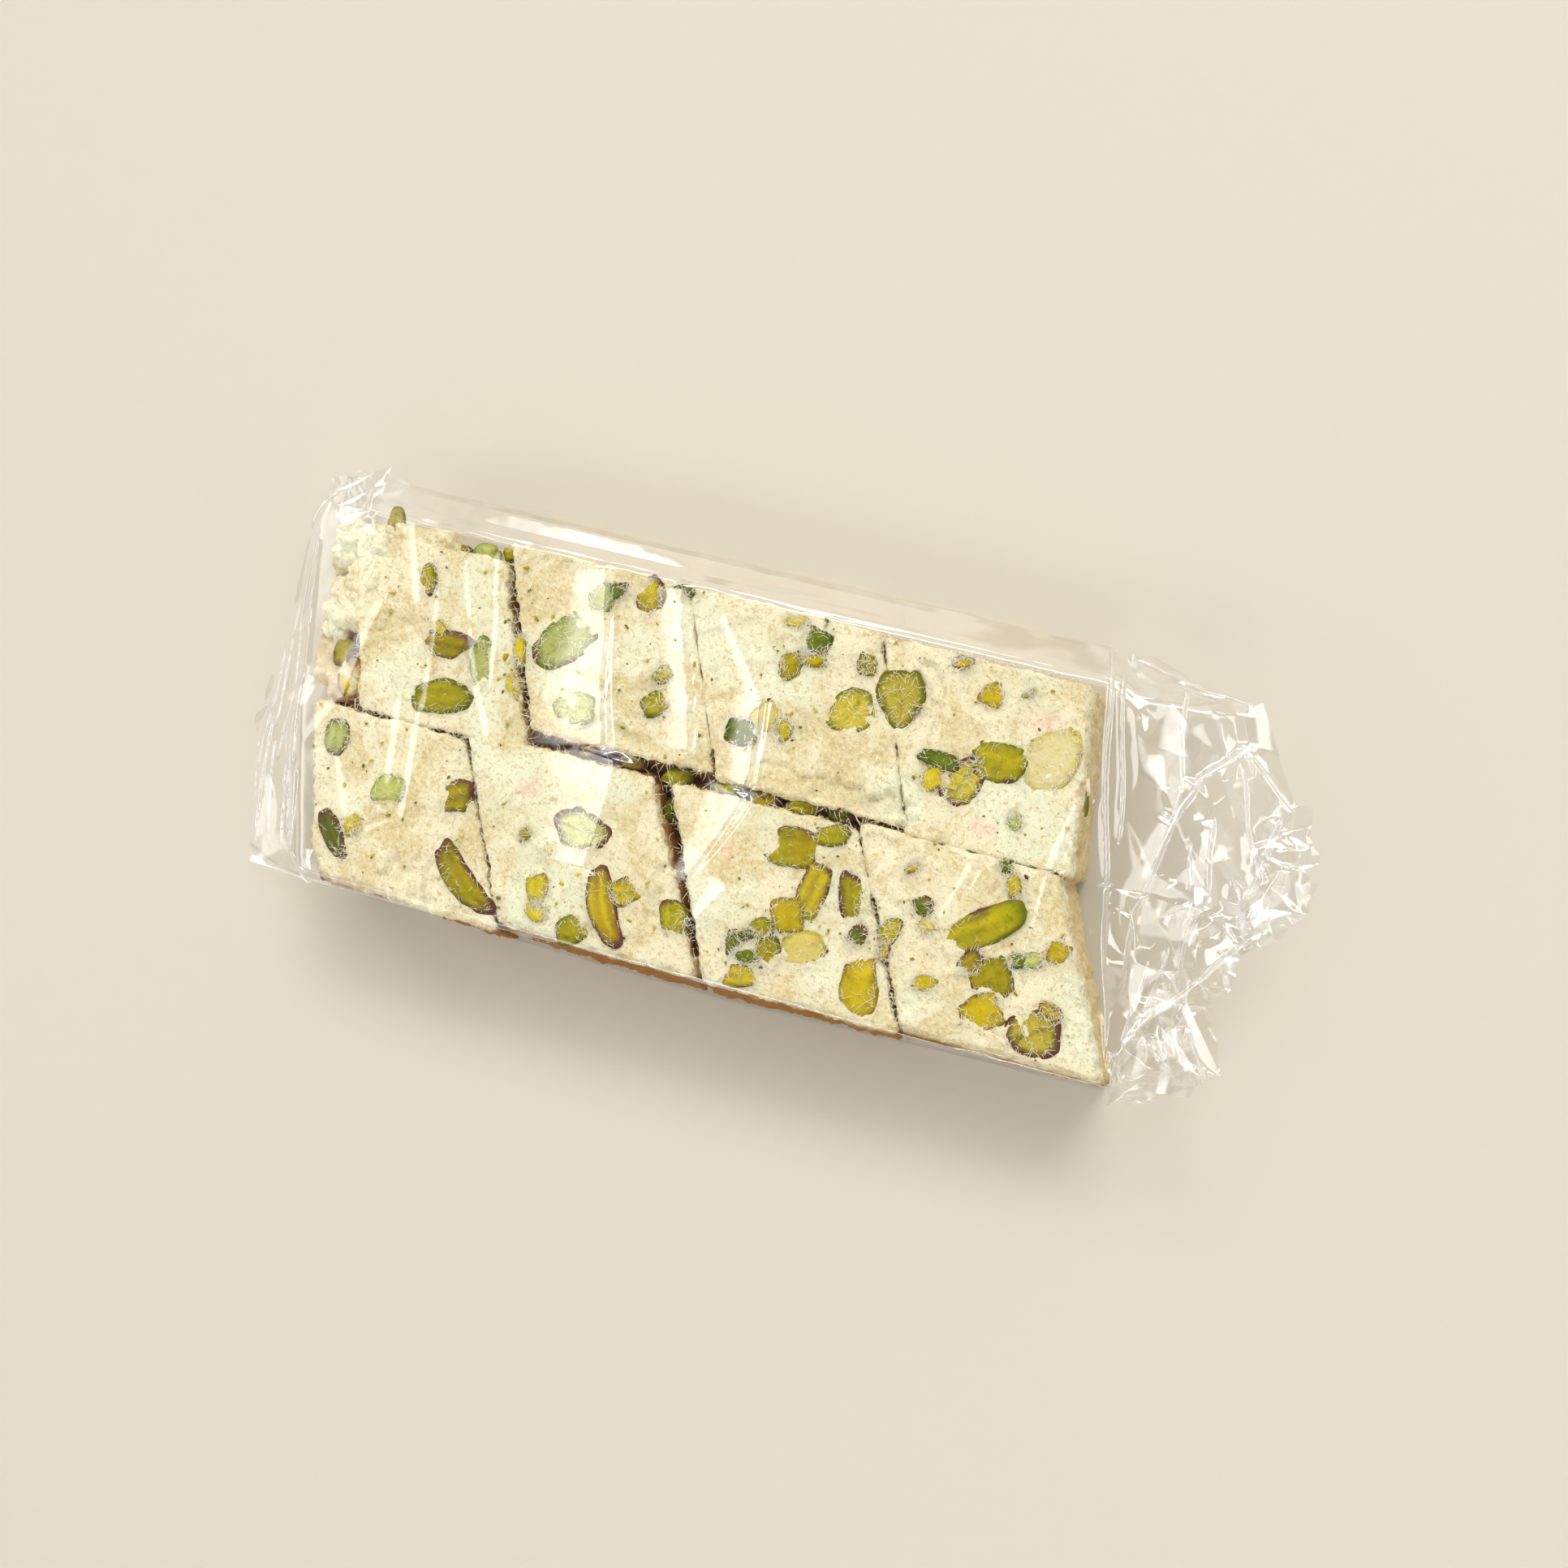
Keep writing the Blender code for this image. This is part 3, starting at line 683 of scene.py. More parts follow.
def patchy(seed, cell, x, y):
    """Soft random patches of about that size, mostly from -1 to 1."""
    draw = np.random.default_rng(seed)
    total = np.zeros_like(x)
    for _ in range(20):
        heading, phase = draw.uniform(0, 2 * math.pi, 2)
        waves = 2 * math.pi / cell * draw.uniform(0.4, 1.0)
        total += np.cos(waves * (x * math.cos(heading) + y * math.sin(heading)) + phase)
    return total / math.sqrt(20)


def oval(points, x, y, half_x, half_y, turn):
    """How far each point is from the middle of an oval: 1 is on its edge."""
    angle = math.radians(turn)
    dx, dy = points[:, 0] - x * MM, points[:, 1] - y * MM
    along = (dx * math.cos(angle) + dy * math.sin(angle)) / (half_x * MM)
    across = (dy * math.cos(angle) - dx * math.sin(angle)) / (half_y * MM)
    return np.hypot(along, across)


def weather_top(piece, seed):
    """Flakes broken off the top, chips, a thin gap pressed round each nut, and where it is frosted or
    stained; deep in a cut, in the gap round some nuts and low on the near wall it is given painted
    brown shade."""
    points = points_of(piece.data)
    x, y = points[:, 0].copy(), points[:, 1].copy()
    in_reach = np.clip((points[:, 2] - SLAB_TOP + 3.5 * MM) / (1.5 * MM), 0, 1)
    drop = np.zeros_like(x)
    for number, (size, rare, soft, depth) in enumerate(FLAKES):
        flaked = np.clip((patchy(seed + number, size * MM, x, y) - rare) / soft, 0, 1)
        drop += FLAKE_DEEP * depth * flaked
    ragged = 0.22 * patchy(seed + 2, 2.0 * MM, x, y)
    for cx, cy, half_x, half_y, turn, depth in CHIPS:
        inside = np.clip((1.15 - oval(points, cx, cy, half_x, half_y, turn) + ragged) / 0.35, 0, 1)
        drop = np.maximum(drop, depth * MM * inside * (1 + 0.8 * ragged))
    frost, shade = np.zeros_like(x), np.zeros_like(x)
    open_here = np.clip(0.4 + 0.9 * patchy(seed + 3, 5.0 * MM, x, y), 0, 1)
    for cx, cy, length, width, turn, *_, kind in SLICED + WHOLE + BROKEN:
        mean = (length + width) / 4 * MM
        clear = (oval(points, cx, cy, length / 2, width / 2, turn) - 1) * mean
        frost = np.maximum(frost, np.exp(-np.clip(clear, 0, None) / FROST_REACH))
        if kind in ("egg", "slice"):
            drop += SOCKET_DEEP * np.clip(1 - clear / SOCKET_GAP, 0, 1) * open_here
            # painted shade in the gap round egg-shaped and sliced kernels
            shade = np.maximum(shade, np.clip(1.4 - np.abs(clear) / (0.4 * MM), 0, 1) * open_here)
    points[:, 2] -= drop * in_reach
    stain = np.zeros_like(x)
    for cx, cy, half_x, half_y in STAINS:
        inside = 1.3 - oval(points, cx, cy, half_x, half_y, 0) + ragged
        stain = np.maximum(stain, np.clip(inside, 0, 1))
    down = SLAB_TOP - points[:, 2]
    # painted shade: brown deep in the cuts, and round the kernels' sockets
    cleft = np.clip((down - CUT_SHADE_FROM) / CUT_SHADE_OVER, 0, 1)
    cleft *= np.clip((from_sides(x, y) - CUT_SHADE_IN) / MM, 0, 1)
    cleft = np.maximum(cleft, SOCKET_SHADE * shade * in_reach)
    # painted shade on the near wall's lower part
    near_wall = np.clip((NEAR_WALL_Y - y) / MM, 0, 1)
    near_wall *= np.clip((down - NEAR_WALL_FROM) / NEAR_WALL_OVER, 0, 1)
    cleft = np.maximum(cleft, NEAR_WALL_SHADE * near_wall)
    set_points(piece.data, points)
    for label, values in (("frost", frost), ("stain", stain), ("cleft", cleft)):
        mark_points(piece.data, label, values)


for piece_number, halva_piece in enumerate(halva_pieces):
    weather_top(halva_piece, 300 + 10 * piece_number)

# ---------------------------------------------------------------------------
# How the halva and the nuts are finished. The halva is matt and grainy, cream with beige and faint
# green clouds, with painted brown shade in its cuts and low on its walls; the kernels are green at
# the rim and yellow within, partly painted shade towards their outlines, with purple-brown skin and a
# bloom of sugar dust.
HALVA_CREAM = paint(246, 238, 204)
HALVA_BEIGE = paint(230, 214, 166)
HALVA_MINT = paint(243, 247, 218)
HALVA_TAN = paint(206, 172, 108)
# the brown of the painted shade in the cuts, round kernels and on the near wall
HALVA_SHADE_BROWN = paint(152, 94, 32)
HALVA_ROSE = paint(250, 204, 188)
# sizes of the halva's patterns, as noise scales: clouds of colour, a faint green tint,
# specks, grains, and two layers of fibres that cross each other
CLOUDS, TINTS, SPECKS, GRAINS = 95.0, 60.0, 330.0, 1300.0
FIBRES = ((1250.0, 62), (1150.0, 148))
FIBRE_LONG = 2.2
# and of the kernels': clouds of green, patches of skin, and fine veins
KERNEL_CLOUDS, KERNEL_PATCHES, KERNEL_VEINS = 300.0, 170.0, 1000.0
HALVA_DUST, KERNEL_DUST, KERNEL_COVER = 2000.0, 2600.0, 0.57


def wire(tree, *links):
    for source, target in links:
        tree.links.new(source, target)


def add(tree, kind, **values):
    """A node with its inputs or properties set by name."""
    node = tree.nodes.new(kind)
    for label, value in values.items():
        key = label.replace("_", " ")
        if key in node.inputs:
            node.inputs[key].default_value = value
        else:
            setattr(node, label, value)
    return node


def mix_color(tree, share, first, second):
    """first and second may be colours or sockets; the result is a socket."""
    node = tree.nodes.new("ShaderNodeMix")
    node.data_type = "RGBA"
    for index, value in ((0, share), (6, first), (7, second)):
        if isinstance(value, bpy.types.NodeSocket):
            tree.links.new(value, node.inputs[index])
        else:
            node.inputs[index].default_value = value
    return node.outputs[2]


def between(tree, value, low, high, to_low=0.0, to_high=1.0):
    node = add(tree, "ShaderNodeMapRange", interpolation_type="SMOOTHSTEP")
    for index, number in enumerate((low, high, to_low, to_high)):
        node.inputs[index + 1].default_value = number
    tree.links.new(value, node.inputs[0])
    return node.outputs[0]


def ranged(tree, value, at_zero, at_one):
    """A number that goes evenly from one to the other as the value goes from 0 to 1."""
    node = add(tree, "ShaderNodeMapRange")
    node.inputs["To Min"].default_value = at_zero
    node.inputs["To Max"].default_value = at_one
    tree.links.new(value, node.inputs["Value"])
    return node.outputs[0]


def sugar_dust_group():
    """Fine sugar and sesame grain: a mask of dusty spots and a height for bump."""
    group = bpy.data.node_groups.new("sugar_dust", "ShaderNodeTree")
    group.interface.new_socket("Vector", in_out="INPUT", socket_type="NodeSocketVector")
    for name, start in (("Grain", 1500.0), ("Cover", 0.5)):
        socket = group.interface.new_socket(name, in_out="INPUT", socket_type="NodeSocketFloat")
        socket.default_value = start
    for name in ("Dust", "Height"):
        group.interface.new_socket(name, in_out="OUTPUT", socket_type="NodeSocketFloat")
    ends = add(group, "NodeGroupInput"), add(group, "NodeGroupOutput")
    fine = add(group, "ShaderNodeTexNoise", Detail=5.0, Roughness=0.7)
    coarse = add(group, "ShaderNodeTexNoise", Detail=4.0, Roughness=0.6)
    wider = add(group, "ShaderNodeMath", operation="MULTIPLY")
    wider.inputs[1].default_value = 0.22
    gate = add(group, "ShaderNodeMath", operation="SUBTRACT", use_clamp=True)
    gain = add(group, "ShaderNodeMath", operation="MULTIPLY", use_clamp=True)
    gain.inputs[1].default_value = 5.0
    total = add(group, "ShaderNodeMath", operation="ADD")
    wire(
        group,
        (ends[0].outputs["Vector"], fine.inputs["Vector"]),
        (ends[0].outputs["Vector"], coarse.inputs["Vector"]),
        (ends[0].outputs["Grain"], fine.inputs["Scale"]),
        (ends[0].outputs["Grain"], wider.inputs[0]),
        (wider.outputs[0], coarse.inputs["Scale"]),
        (coarse.outputs[0], gate.inputs[0]),
        (ends[0].outputs["Cover"], gate.inputs[1]),
        (gate.outputs[0], gain.inputs[0]),
        (gain.outputs[0], ends[1].inputs["Dust"]),
        (fine.outputs[0], total.inputs[0]),
        (coarse.outputs[0], total.inputs[1]),
        (total.outputs[0], ends[1].inputs["Height"]),
    )
    return group


sugar_dust = sugar_dust_group()


def new_material(name):
    material = bpy.data.materials.new(name)
    material.use_nodes = True
    tree = material.node_tree
    return material, tree, tree.nodes["Principled BSDF"], add(tree, "ShaderNodeTexCoord")


def spread(tree, place, scale, stretch, turn, **values):
    """A noise stretched along one direction, as fibres lie."""
    laid = add(tree, "ShaderNodeMapping", vector_type="TEXTURE")
    laid.inputs["Rotation"].default_value = (0, 0, math.radians(turn))
    laid.inputs["Scale"].default_value = (stretch, 1, 1)
    fibres = add(tree, "ShaderNodeTexNoise", Scale=scale, **values)
    wire(tree, (place, laid.inputs["Vector"]), (laid.outputs[0], fibres.inputs["Vector"]))
    return fibres.outputs[0]


def maths(tree, operation, first, second, clamp=False):
    """first and second may be numbers or sockets; the result is a socket."""
    node = add(tree, "ShaderNodeMath", operation=operation, use_clamp=clamp)
    for index, value in ((0, first), (1, second)):
        if isinstance(value, bpy.types.NodeSocket):
            tree.links.new(value, node.inputs[index])
        else:
            node.inputs[index].default_value = value
    return node.outputs[0]


def masked(tree, name):
    return add(tree, "ShaderNodeAttribute", attribute_name=name).outputs["Fac"]


def halva_material():
    material, tree, shader, where = new_material("halva")
    place = where.outputs["Object"]
    clouds = add(tree, "ShaderNodeTexNoise", Scale=CLOUDS, Detail=6.0, Roughness=0.66, Distortion=0.5)
    tints = add(tree, "ShaderNodeTexNoise", Scale=TINTS, Detail=2.0, Roughness=0.5)
    specks = add(tree, "ShaderNodeTexVoronoi", Scale=SPECKS, Randomness=1.0)
    grains = add(tree, "ShaderNodeTexNoise", Scale=GRAINS, Detail=3.0, Roughness=0.7)
    dust = add(tree, "ShaderNodeGroup", node_tree=sugar_dust)
    dust.inputs["Grain"].default_value = HALVA_DUST
    for node in (clouds, tints, specks, grains, dust):
        tree.links.new(place, node.inputs["Vector"])
    one_way, other_way = (
        spread(tree, place, scale, FIBRE_LONG, turn, Detail=3.0, Roughness=0.6, Distortion=1.6)
        for scale, turn in FIBRES
    )
    fibres = maths(tree, "MAXIMUM", one_way, other_way)
    # beige with clouds of cream, which are whiter round the kernels, tinted and stained
    frost = maths(tree, "MULTIPLY", masked(tree, "frost"), 0.16)
    pale = maths(tree, "ADD", clouds.outputs[0], frost)
    base = mix_color(tree, between(tree, pale, 0.45, 0.57), HALVA_BEIGE, HALVA_CREAM)
    base = mix_color(tree, between(tree, tints.outputs[0], 0.50, 0.62, 0, 0.8), base, HALVA_MINT)
    base = mix_color(tree, maths(tree, "MULTIPLY", masked(tree, "stain"), 0.6), base, HALVA_ROSE)
    # pale fibres with tan hollows between them
    base = mix_color(tree, between(tree, fibres, 0.58, 0.70, 0, 0.6), base, HALVA_CREAM)
    base = mix_color(tree, between(tree, other_way, 0.44, 0.32, 0, 0.45), base, HALVA_TAN)
    # pale and tan grains, and tan specks
    base = mix_color(tree, between(tree, grains.outputs[0], 0.54, 0.62, 0, 0.65), base, HALVA_CREAM)
    base = mix_color(tree, between(tree, grains.outputs[0], 0.46, 0.37, 0, 0.55), base, HALVA_TAN)
    base = mix_color(tree, between(tree, specks.outputs[0], 0.10, 0.04, 0, 0.7), base, HALVA_TAN)
    # painted shade: darker lower down the walls, and brown in the cuts, round some kernels and on the
    # near wall
    split = add(tree, "ShaderNodeSeparateXYZ")
    tree.links.new(place, split.inputs[0])
    deep = between(tree, split.outputs[2], SLAB_TOP - 0.6 * MM, SLAB_TOP - 6 * MM, 0, 0.55)
    base = mix_color(tree, deep, base, HALVA_TAN)
    base = mix_color(tree, maths(tree, "MULTIPLY", masked(tree, "cleft"), 0.95), base, HALVA_SHADE_BROWN)
    bump = add(tree, "ShaderNodeBump", Strength=0.6, Distance=0.0004)
    rise = maths(tree, "ADD", maths(tree, "MULTIPLY", dust.outputs["Height"], 0.5), fibres)
    wire(
        tree,
        (base, shader.inputs["Base Color"]),
        (rise, bump.inputs["Height"]),
        (bump.outputs[0], shader.inputs["Normal"]),
    )
    shader.inputs["Roughness"].default_value = 0.85
    shader.inputs["Specular IOR Level"].default_value = 0.05
    return material


def pistachio_material():
    material, tree, shader, where = new_material("pistachio")
    place = where.outputs["Object"]
    flesh = add(tree, "ShaderNodeAttribute", attribute_name="flesh").outputs["Color"]
    rind = add(tree, "ShaderNodeAttribute", attribute_name="rind").outputs["Color"]
    rim, skin = masked(tree, "rim"), masked(tree, "skin")
    clouds = add(
        tree, "ShaderNodeTexNoise", Scale=KERNEL_CLOUDS, Detail=5.0, Roughness=0.62, Distortion=0.8
    )
    patches = add(tree, "ShaderNodeTexNoise", Scale=KERNEL_PATCHES, Detail=4.0, Roughness=0.6)
    veins = add(tree, "ShaderNodeTexNoise", Scale=KERNEL_VEINS, Detail=4.0, Roughness=0.65)
    dust = add(tree, "ShaderNodeGroup", node_tree=sugar_dust)
    dust.inputs["Grain"].default_value = KERNEL_DUST
    dust.inputs["Cover"].default_value = KERNEL_COVER
    for node in (clouds, patches, veins, dust):
        tree.links.new(place, node.inputs["Vector"])
    # yellow flesh inside, the greener rind towards the rim and in the veins; towards the outline it
    # is partly painted shade
    uneven = maths(tree, "SUBTRACT", clouds.outputs[0], 0.5)
    edge = maths(tree, "ADD", maths(tree, "MULTIPLY", uneven, 1.1), rim, clamp=True)
    base = mix_color(tree, edge, flesh, rind)
    base = mix_color(tree, between(tree, veins.outputs[0], 0.50, 0.68, 0, 0.45), base, rind)
    # painted shade: darker olive patches towards the rim
    rim_shade = maths(tree, "MULTIPLY", between(tree, clouds.outputs[0], 0.52, 0.34, 0, 0.75), rim)
    base = mix_color(tree, rim_shade, base, RIM_SHADE_OLIVE)
    # skin covers more of the surface the more a kernel has kept
    bare = maths(tree, "MULTIPLY", maths(tree, "SUBTRACT", 1.06, skin), 0.72)
    kept = maths(tree, "SUBTRACT", patches.outputs[0], bare)
    kept = maths(tree, "MULTIPLY", kept, 16.0, clamp=True)
    base = mix_color(tree, maths(tree, "MULTIPLY", kept, rim), base, SKIN)
    # and a ragged brown line of it is left along its outline, partly skin and partly painted shade
    foot = between(tree, masked(tree, "edge"), 0.60, 1.0)
    ragged = between(tree, patches.outputs[0], 0.40, 0.56, 0.1, 1.0)
    amount = maths(tree, "ADD", maths(tree, "MULTIPLY", skin, 0.6), 0.25)
    line = maths(tree, "MULTIPLY", maths(tree, "MULTIPLY", foot, ragged), amount, clamp=True)
    base = mix_color(tree, line, base, SKIN)
    base = mix_color(tree, maths(tree, "MULTIPLY", dust.outputs["Dust"], 0.06), base, HALVA_CREAM)
    bump = add(tree, "ShaderNodeBump", Strength=0.7, Distance=0.0004)
    wire(
        tree,
        (base, shader.inputs["Base Color"]),
        (maths(tree, "ADD", veins.outputs[0], clouds.outputs[0]), bump.inputs["Height"]),
        (bump.outputs[0], shader.inputs["Normal"]),
    )
    shader.inputs["Roughness"].default_value = 0.5
    shader.inputs["Specular IOR Level"].default_value = 0.2
    return material


def finish_piece(piece, material):
    piece.data.materials.clear()
    piece.data.materials.append(material)
    piece.data.polygons.foreach_set("use_smooth", [True] * len(piece.data.polygons))
    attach(piece, "root")


halva = halva_material()
for halva_piece in halva_pieces:
    finish_piece(halva_piece, halva)
pistachio = pistachio_material()
for nuts in pistachios:
    finish_piece(nuts, pistachio)

# ---------------------------------------------------------------------------
# The floss and the crumbs. Where the halva is cut it frays into short white
# strands of pulled sugar, which also cling to the nuts, and small bits of
# kernel and skin are scattered all over it.
STRAND_COUNT = 13000
STRAND_LONG = (0.5 * MM, 2.3 * MM)
STRAND_THICK = 0.075 * MM
STRAND_BENDS = 2
# a few strands are long hairs
HAIR_SHARE = 0.012
HAIR_LONG = (3.0 * MM, 6.5 * MM)
HAIR_BENDS = 5
# this share of the strands starts at the cuts, the next up to here at the kernels
AT_CUTS, AT_KERNELS = 0.29, 0.90
# how far, in millimetres, the ones at the cuts stray sideways and downwards
STRAY, STRAY_DOWN = 0.45, 1.2
# the film keeps them within these values of y, no higher over the top than this, and
# no further past the ends
FLOSS_REACH = (-33.6 * MM, 35.2 * MM)
FLOSS_HIGH = 0.95 * MM
FLOSS_PAST = 0.6 * MM
STRAND_COLOR = paint(253, 250, 236)
CRUMB_COUNT = 620
CRUMB_SIZE = (0.14 * MM, 0.55 * MM)
# how far, in millimetres, crumbs lie from their kernel, and how many are bits of skin
CRUMB_STRAY = 4.5
CRUMB_SKIN = 0.07
CRUMB_COLORS = [GREEN, OLIVE, YELLOW, YELLOW, PALE, AMBER, MISTY, LENS]


def line_across(piece, share):
    """The left and right end and the y of a line across a piece's top, which lies on
    its far edge where the share is 0 and on its near edge where it is 1."""
    far_left, far_right, near_left, near_right, y_far, y_near = piece
    left = far_left + (near_left - far_left) * share
    right = far_right + (near_right - far_right) * share
    return left, right, y_far + (y_near - y_far) * share


def on_a_piece(x, y):
    """Whether a place in millimetres lies on top of a piece."""
    for piece in PIECES.values():
        *_, y_far, y_near = piece
        left, right, _ = line_across(piece, (y_far - y) / (y_far - y_near))
        if y_near < y < y_far and left < x < right:
            return True
    return False


def top_edge_point(rng):
    """A random place along the top edge of a random piece."""
    piece = rng.choice(list(PIECES.values()))
    far_left, far_right, near_left, near_right, y_far, y_near = piece
    share, side = rng.random(), rng.randrange(4)
    if side == 0:
        return far_left + (far_right - far_left) * share, y_far
    if side == 1:
        return near_left + (near_right - near_left) * share, y_near
    left, right, y = line_across(piece, share)
    return (left, y) if side == 2 else (right, y)


def kernel_edge_point(rng):
    """A random place at the edge of a random kernel, or sometimes on it."""
    x, y, length, width, turn, *_ = rng.choice(SLICED + WHOLE + BROKEN)
    around = rng.uniform(0, 2 * math.pi)
    reach = (rng.uniform(0.85, 1.12) if rng.random() < 0.75 else rng.uniform(0.2, 0.85)) / 2
    along, across = math.cos(around) * length * reach, math.sin(around) * width * reach
    angle = math.radians(turn)
    x += along * math.cos(angle) - across * math.sin(angle)
    y += along * math.sin(angle) + across * math.cos(angle)
    return x, y


def strand_places(rng):
    """Where each strand starts: at the cuts, at the kernels' edges, or anywhere on top."""
    for _ in range(STRAND_COUNT):
        chance = rng.random()
        if chance < AT_CUTS:
            x, y = top_edge_point(rng)
            x, y = x + rng.gauss(0, STRAY), y + rng.gauss(0, STRAY)
            yield x, y, SLAB_TOP - abs(rng.gauss(0, STRAY_DOWN)) * MM
        elif chance < AT_KERNELS:
            yield *kernel_edge_point(rng), SLAB_TOP + rng.uniform(0.1, 0.75) * MM
        else:
            left, right, y = line_across(rng.choice(list(PIECES.values())), rng.random())
            yield rng.uniform(left, right), y, SLAB_TOP + 0.1 * MM


def strands():
    """One mesh of fine three-sided strands, each gently bent."""
    rng = random.Random(5)
    points, faces = [], []
    for x, y, z in strand_places(rng):
        here = Vector((x * MM, y * MM, z))
        heading, climb = rng.uniform(0, 2 * math.pi), rng.gauss(0.05, 0.22)
        is_hair = rng.random() < HAIR_SHARE
        bends = HAIR_BENDS if is_hair else STRAND_BENDS
        step = rng.uniform(*(HAIR_LONG if is_hair else STRAND_LONG)) / bends
        first = len(points)
        for bend in range(bends + 1):
            ahead = Vector((math.cos(heading), math.sin(heading), climb))
            side = Vector((-ahead.y, ahead.x, 0)).normalized()
            up = Vector((0, 0, 1))
            thick = STRAND_THICK * (1 - 0.7 * bend / bends)
            for turn in range(3):
                angle = 2 * math.pi * turn / 3
                points.append(here + (side * math.cos(angle) + up * math.sin(angle)) * thick)
            here = here + ahead * step
            here.z = min(here.z, SLAB_TOP + FLOSS_HIGH)
            heading += rng.gauss(0, 0.1 if is_hair else 0.45)
            climb = climb * 0.5 + rng.gauss(-0.03, 0.12)
        for bend in range(bends):
            low = first + bend * 3
            for turn in range(3):
                after = (turn + 1) % 3
                faces.append((low + turn, low + after, low + 3 + after, low + 3 + turn))
        faces.append((first + 2, first + 1, first))
        last = first + bends * 3
        faces.append((last, last + 1, last + 2))
    # the film presses back what would stand out past the slab's sides
    places = np.array(points)
    places[:, 1] = np.clip(places[:, 1], *FLOSS_REACH)
    left, right = along_points(LEFT_SIDE, places[:, 1]), along_points(RIGHT_SIDE, places[:, 1])
    places[:, 0] = np.clip(places[:, 0], left - FLOSS_PAST, right + FLOSS_PAST)
    mesh = bpy.data.meshes.new("sugar_floss")
    mesh.from_pydata(places, [], faces)
    return set_out("sugar_floss", mesh)


def crumbs():
    """Small bits of kernel and skin over the top, joined into one mesh."""
    rng = random.Random(9)
    bpy.ops.object.select_all(action="DESELECT")
    bpy.ops.mesh.primitive_ico_sphere_add(subdivisions=1, radius=1)
    model = bpy.context.object
    shape, triangles = points_of(model.data), [tuple(p.vertices) for p in model.data.polygons]
    bpy.data.objects.remove(model, do_unlink=True)
    points, faces, fleshes, skins = [], [], [], []
    for _ in range(CRUMB_COUNT):
        if rng.random() < 0.5:
            x, y, *_ = rng.choice(SLICED + WHOLE + BROKEN)
            x, y = x + rng.gauss(0, CRUMB_STRAY), y + rng.gauss(0, CRUMB_STRAY)
            if not on_a_piece(x, y):
                continue
        else:
            left, right, y = line_across(rng.choice(list(PIECES.values())), rng.random())
            x = rng.uniform(left, right)
        size = rng.uniform(*CRUMB_SIZE) * (0.5 + rng.random())
        spin = np.array(Euler([rng.uniform(0, 6.28) for _ in range(3)]).to_matrix())
        rough = np.array([rng.uniform(0.6, 1.3) for _ in range(len(shape))])[:, None]
        bit = shape * rough * np.array([1, rng.uniform(0.4, 1), 0.5]) * size
        place = np.array([x * MM, y * MM, SLAB_TOP + size * 0.1])
        start = len(points)
        points.extend(bit @ spin.T + place)
        faces.extend(tuple(start + i for i in t) for t in triangles)
        color = rng.choice(CRUMB_COLORS)[rng.randrange(2)]
        fleshes.extend([color] * len(shape))
        skins.extend([1.0 if rng.random() < CRUMB_SKIN else 0.0] * len(shape))
    mesh = bpy.data.meshes.new("kernel_crumbs")
    mesh.from_pydata(points, [], faces)
    for label in ("flesh", "rind"):
        color_points(mesh, label, fleshes)
    ones, zeros = np.ones(len(points)), np.zeros(len(points))
    for label, values in (("skin", skins), ("rim", ones), ("edge", zeros)):
        mark_points(mesh, label, values)
    return set_out("kernel_crumbs", mesh)


def floss_material():
    material, tree, shader, where = new_material("floss")
    shade = add(tree, "ShaderNodeTexNoise", Scale=300.0, Detail=2.0)
    tree.links.new(where.outputs["Object"], shade.inputs["Vector"])
    tint = mix_color(tree, between(tree, shade.outputs[0], 0.4, 0.6), STRAND_COLOR, HALVA_CREAM)
    tree.links.new(tint, shader.inputs["Base Color"])
    shader.inputs["Roughness"].default_value = 0.4
    return material


finish_piece(strands(), floss_material())
finish_piece(crumbs(), pistachio)

# ---------------------------------------------------------------------------
# The film bag. A tube of thin clear film drawn over the slab: tight on top in
# long pleats, standing off the far side in a skirt, and crumpled into a loose
# tuft at each end. Its folds are sharp, and catch the light as white lines.
FILM_TOP = SLAB_TOP + 1.05 * MM
FILM_LOW = 0.25 * MM
FILM_INDEX = 1.5
# a sheet mirrors on both its faces, so nearly twice as much as one
FILM_FACES = 1.9
FILM_GLOSS = 0.06
FILM_RIPPLE = 120.0
FILM_SHADE = (0.94, 0.935, 0.925, 1.0)
# the bag's cut across the slab: share of the way across, y and z
OVER_SLAB = [
    (0.0, -36.8, 0.25),
    (0.03, -36.6, 3.0),
    (0.08, -35.9, 14.0),
    (0.10, -35.6, 17.8),
    (0.12, -34.8, 19.0),
    (0.84, 35.2, 19.0),
    (0.87, 36.4, 18.3),
    (0.97, 42.5, 13.4),
    (1.0, 43.2, 12.4),
]
# the near side's upper fold and its foot: x and the two values of y
NEAR_SIDE = [
    (-75.0, -36.5, -37.1),
    (-50.0, -36.3, -38.4),
    (-20.0, -35.0, -38.9),
    (10.0, -34.9, -39.1),
    (50.0, -34.4, -37.4),
    (85.0, -33.8, -36.2),
]
# the skirt stands out flatter towards its left end: x, and how much higher its fold is
SKIRT_LIFT = [(-85.0, 0.4), (-58.0, 0.6), (-50.0, 0.95), (-24.0, 0.95), (-10.0, 0.5), (66.0, 0.0)]
UNDER_SLAB = [
    (0.0, -36.8, 0.25),
    (0.12, -34.8, 0.25),
    (0.84, 37.0, 0.25),
    (0.97, 42.2, 10.0),
    (1.0, 43.2, 12.4),
]
LEFT_END = [(-36.8, -70.8), (-2.8, -80.0), (-2.0, -80.0), (31.5, -86.0), (43.2, -84.0)]
RIGHT_END = [(-37.0, 84.8), (-33.0, 84.2), (0.2, 69.2), (0.6, 70.8), (34.2, 66.2), (43.2, 66.0)]
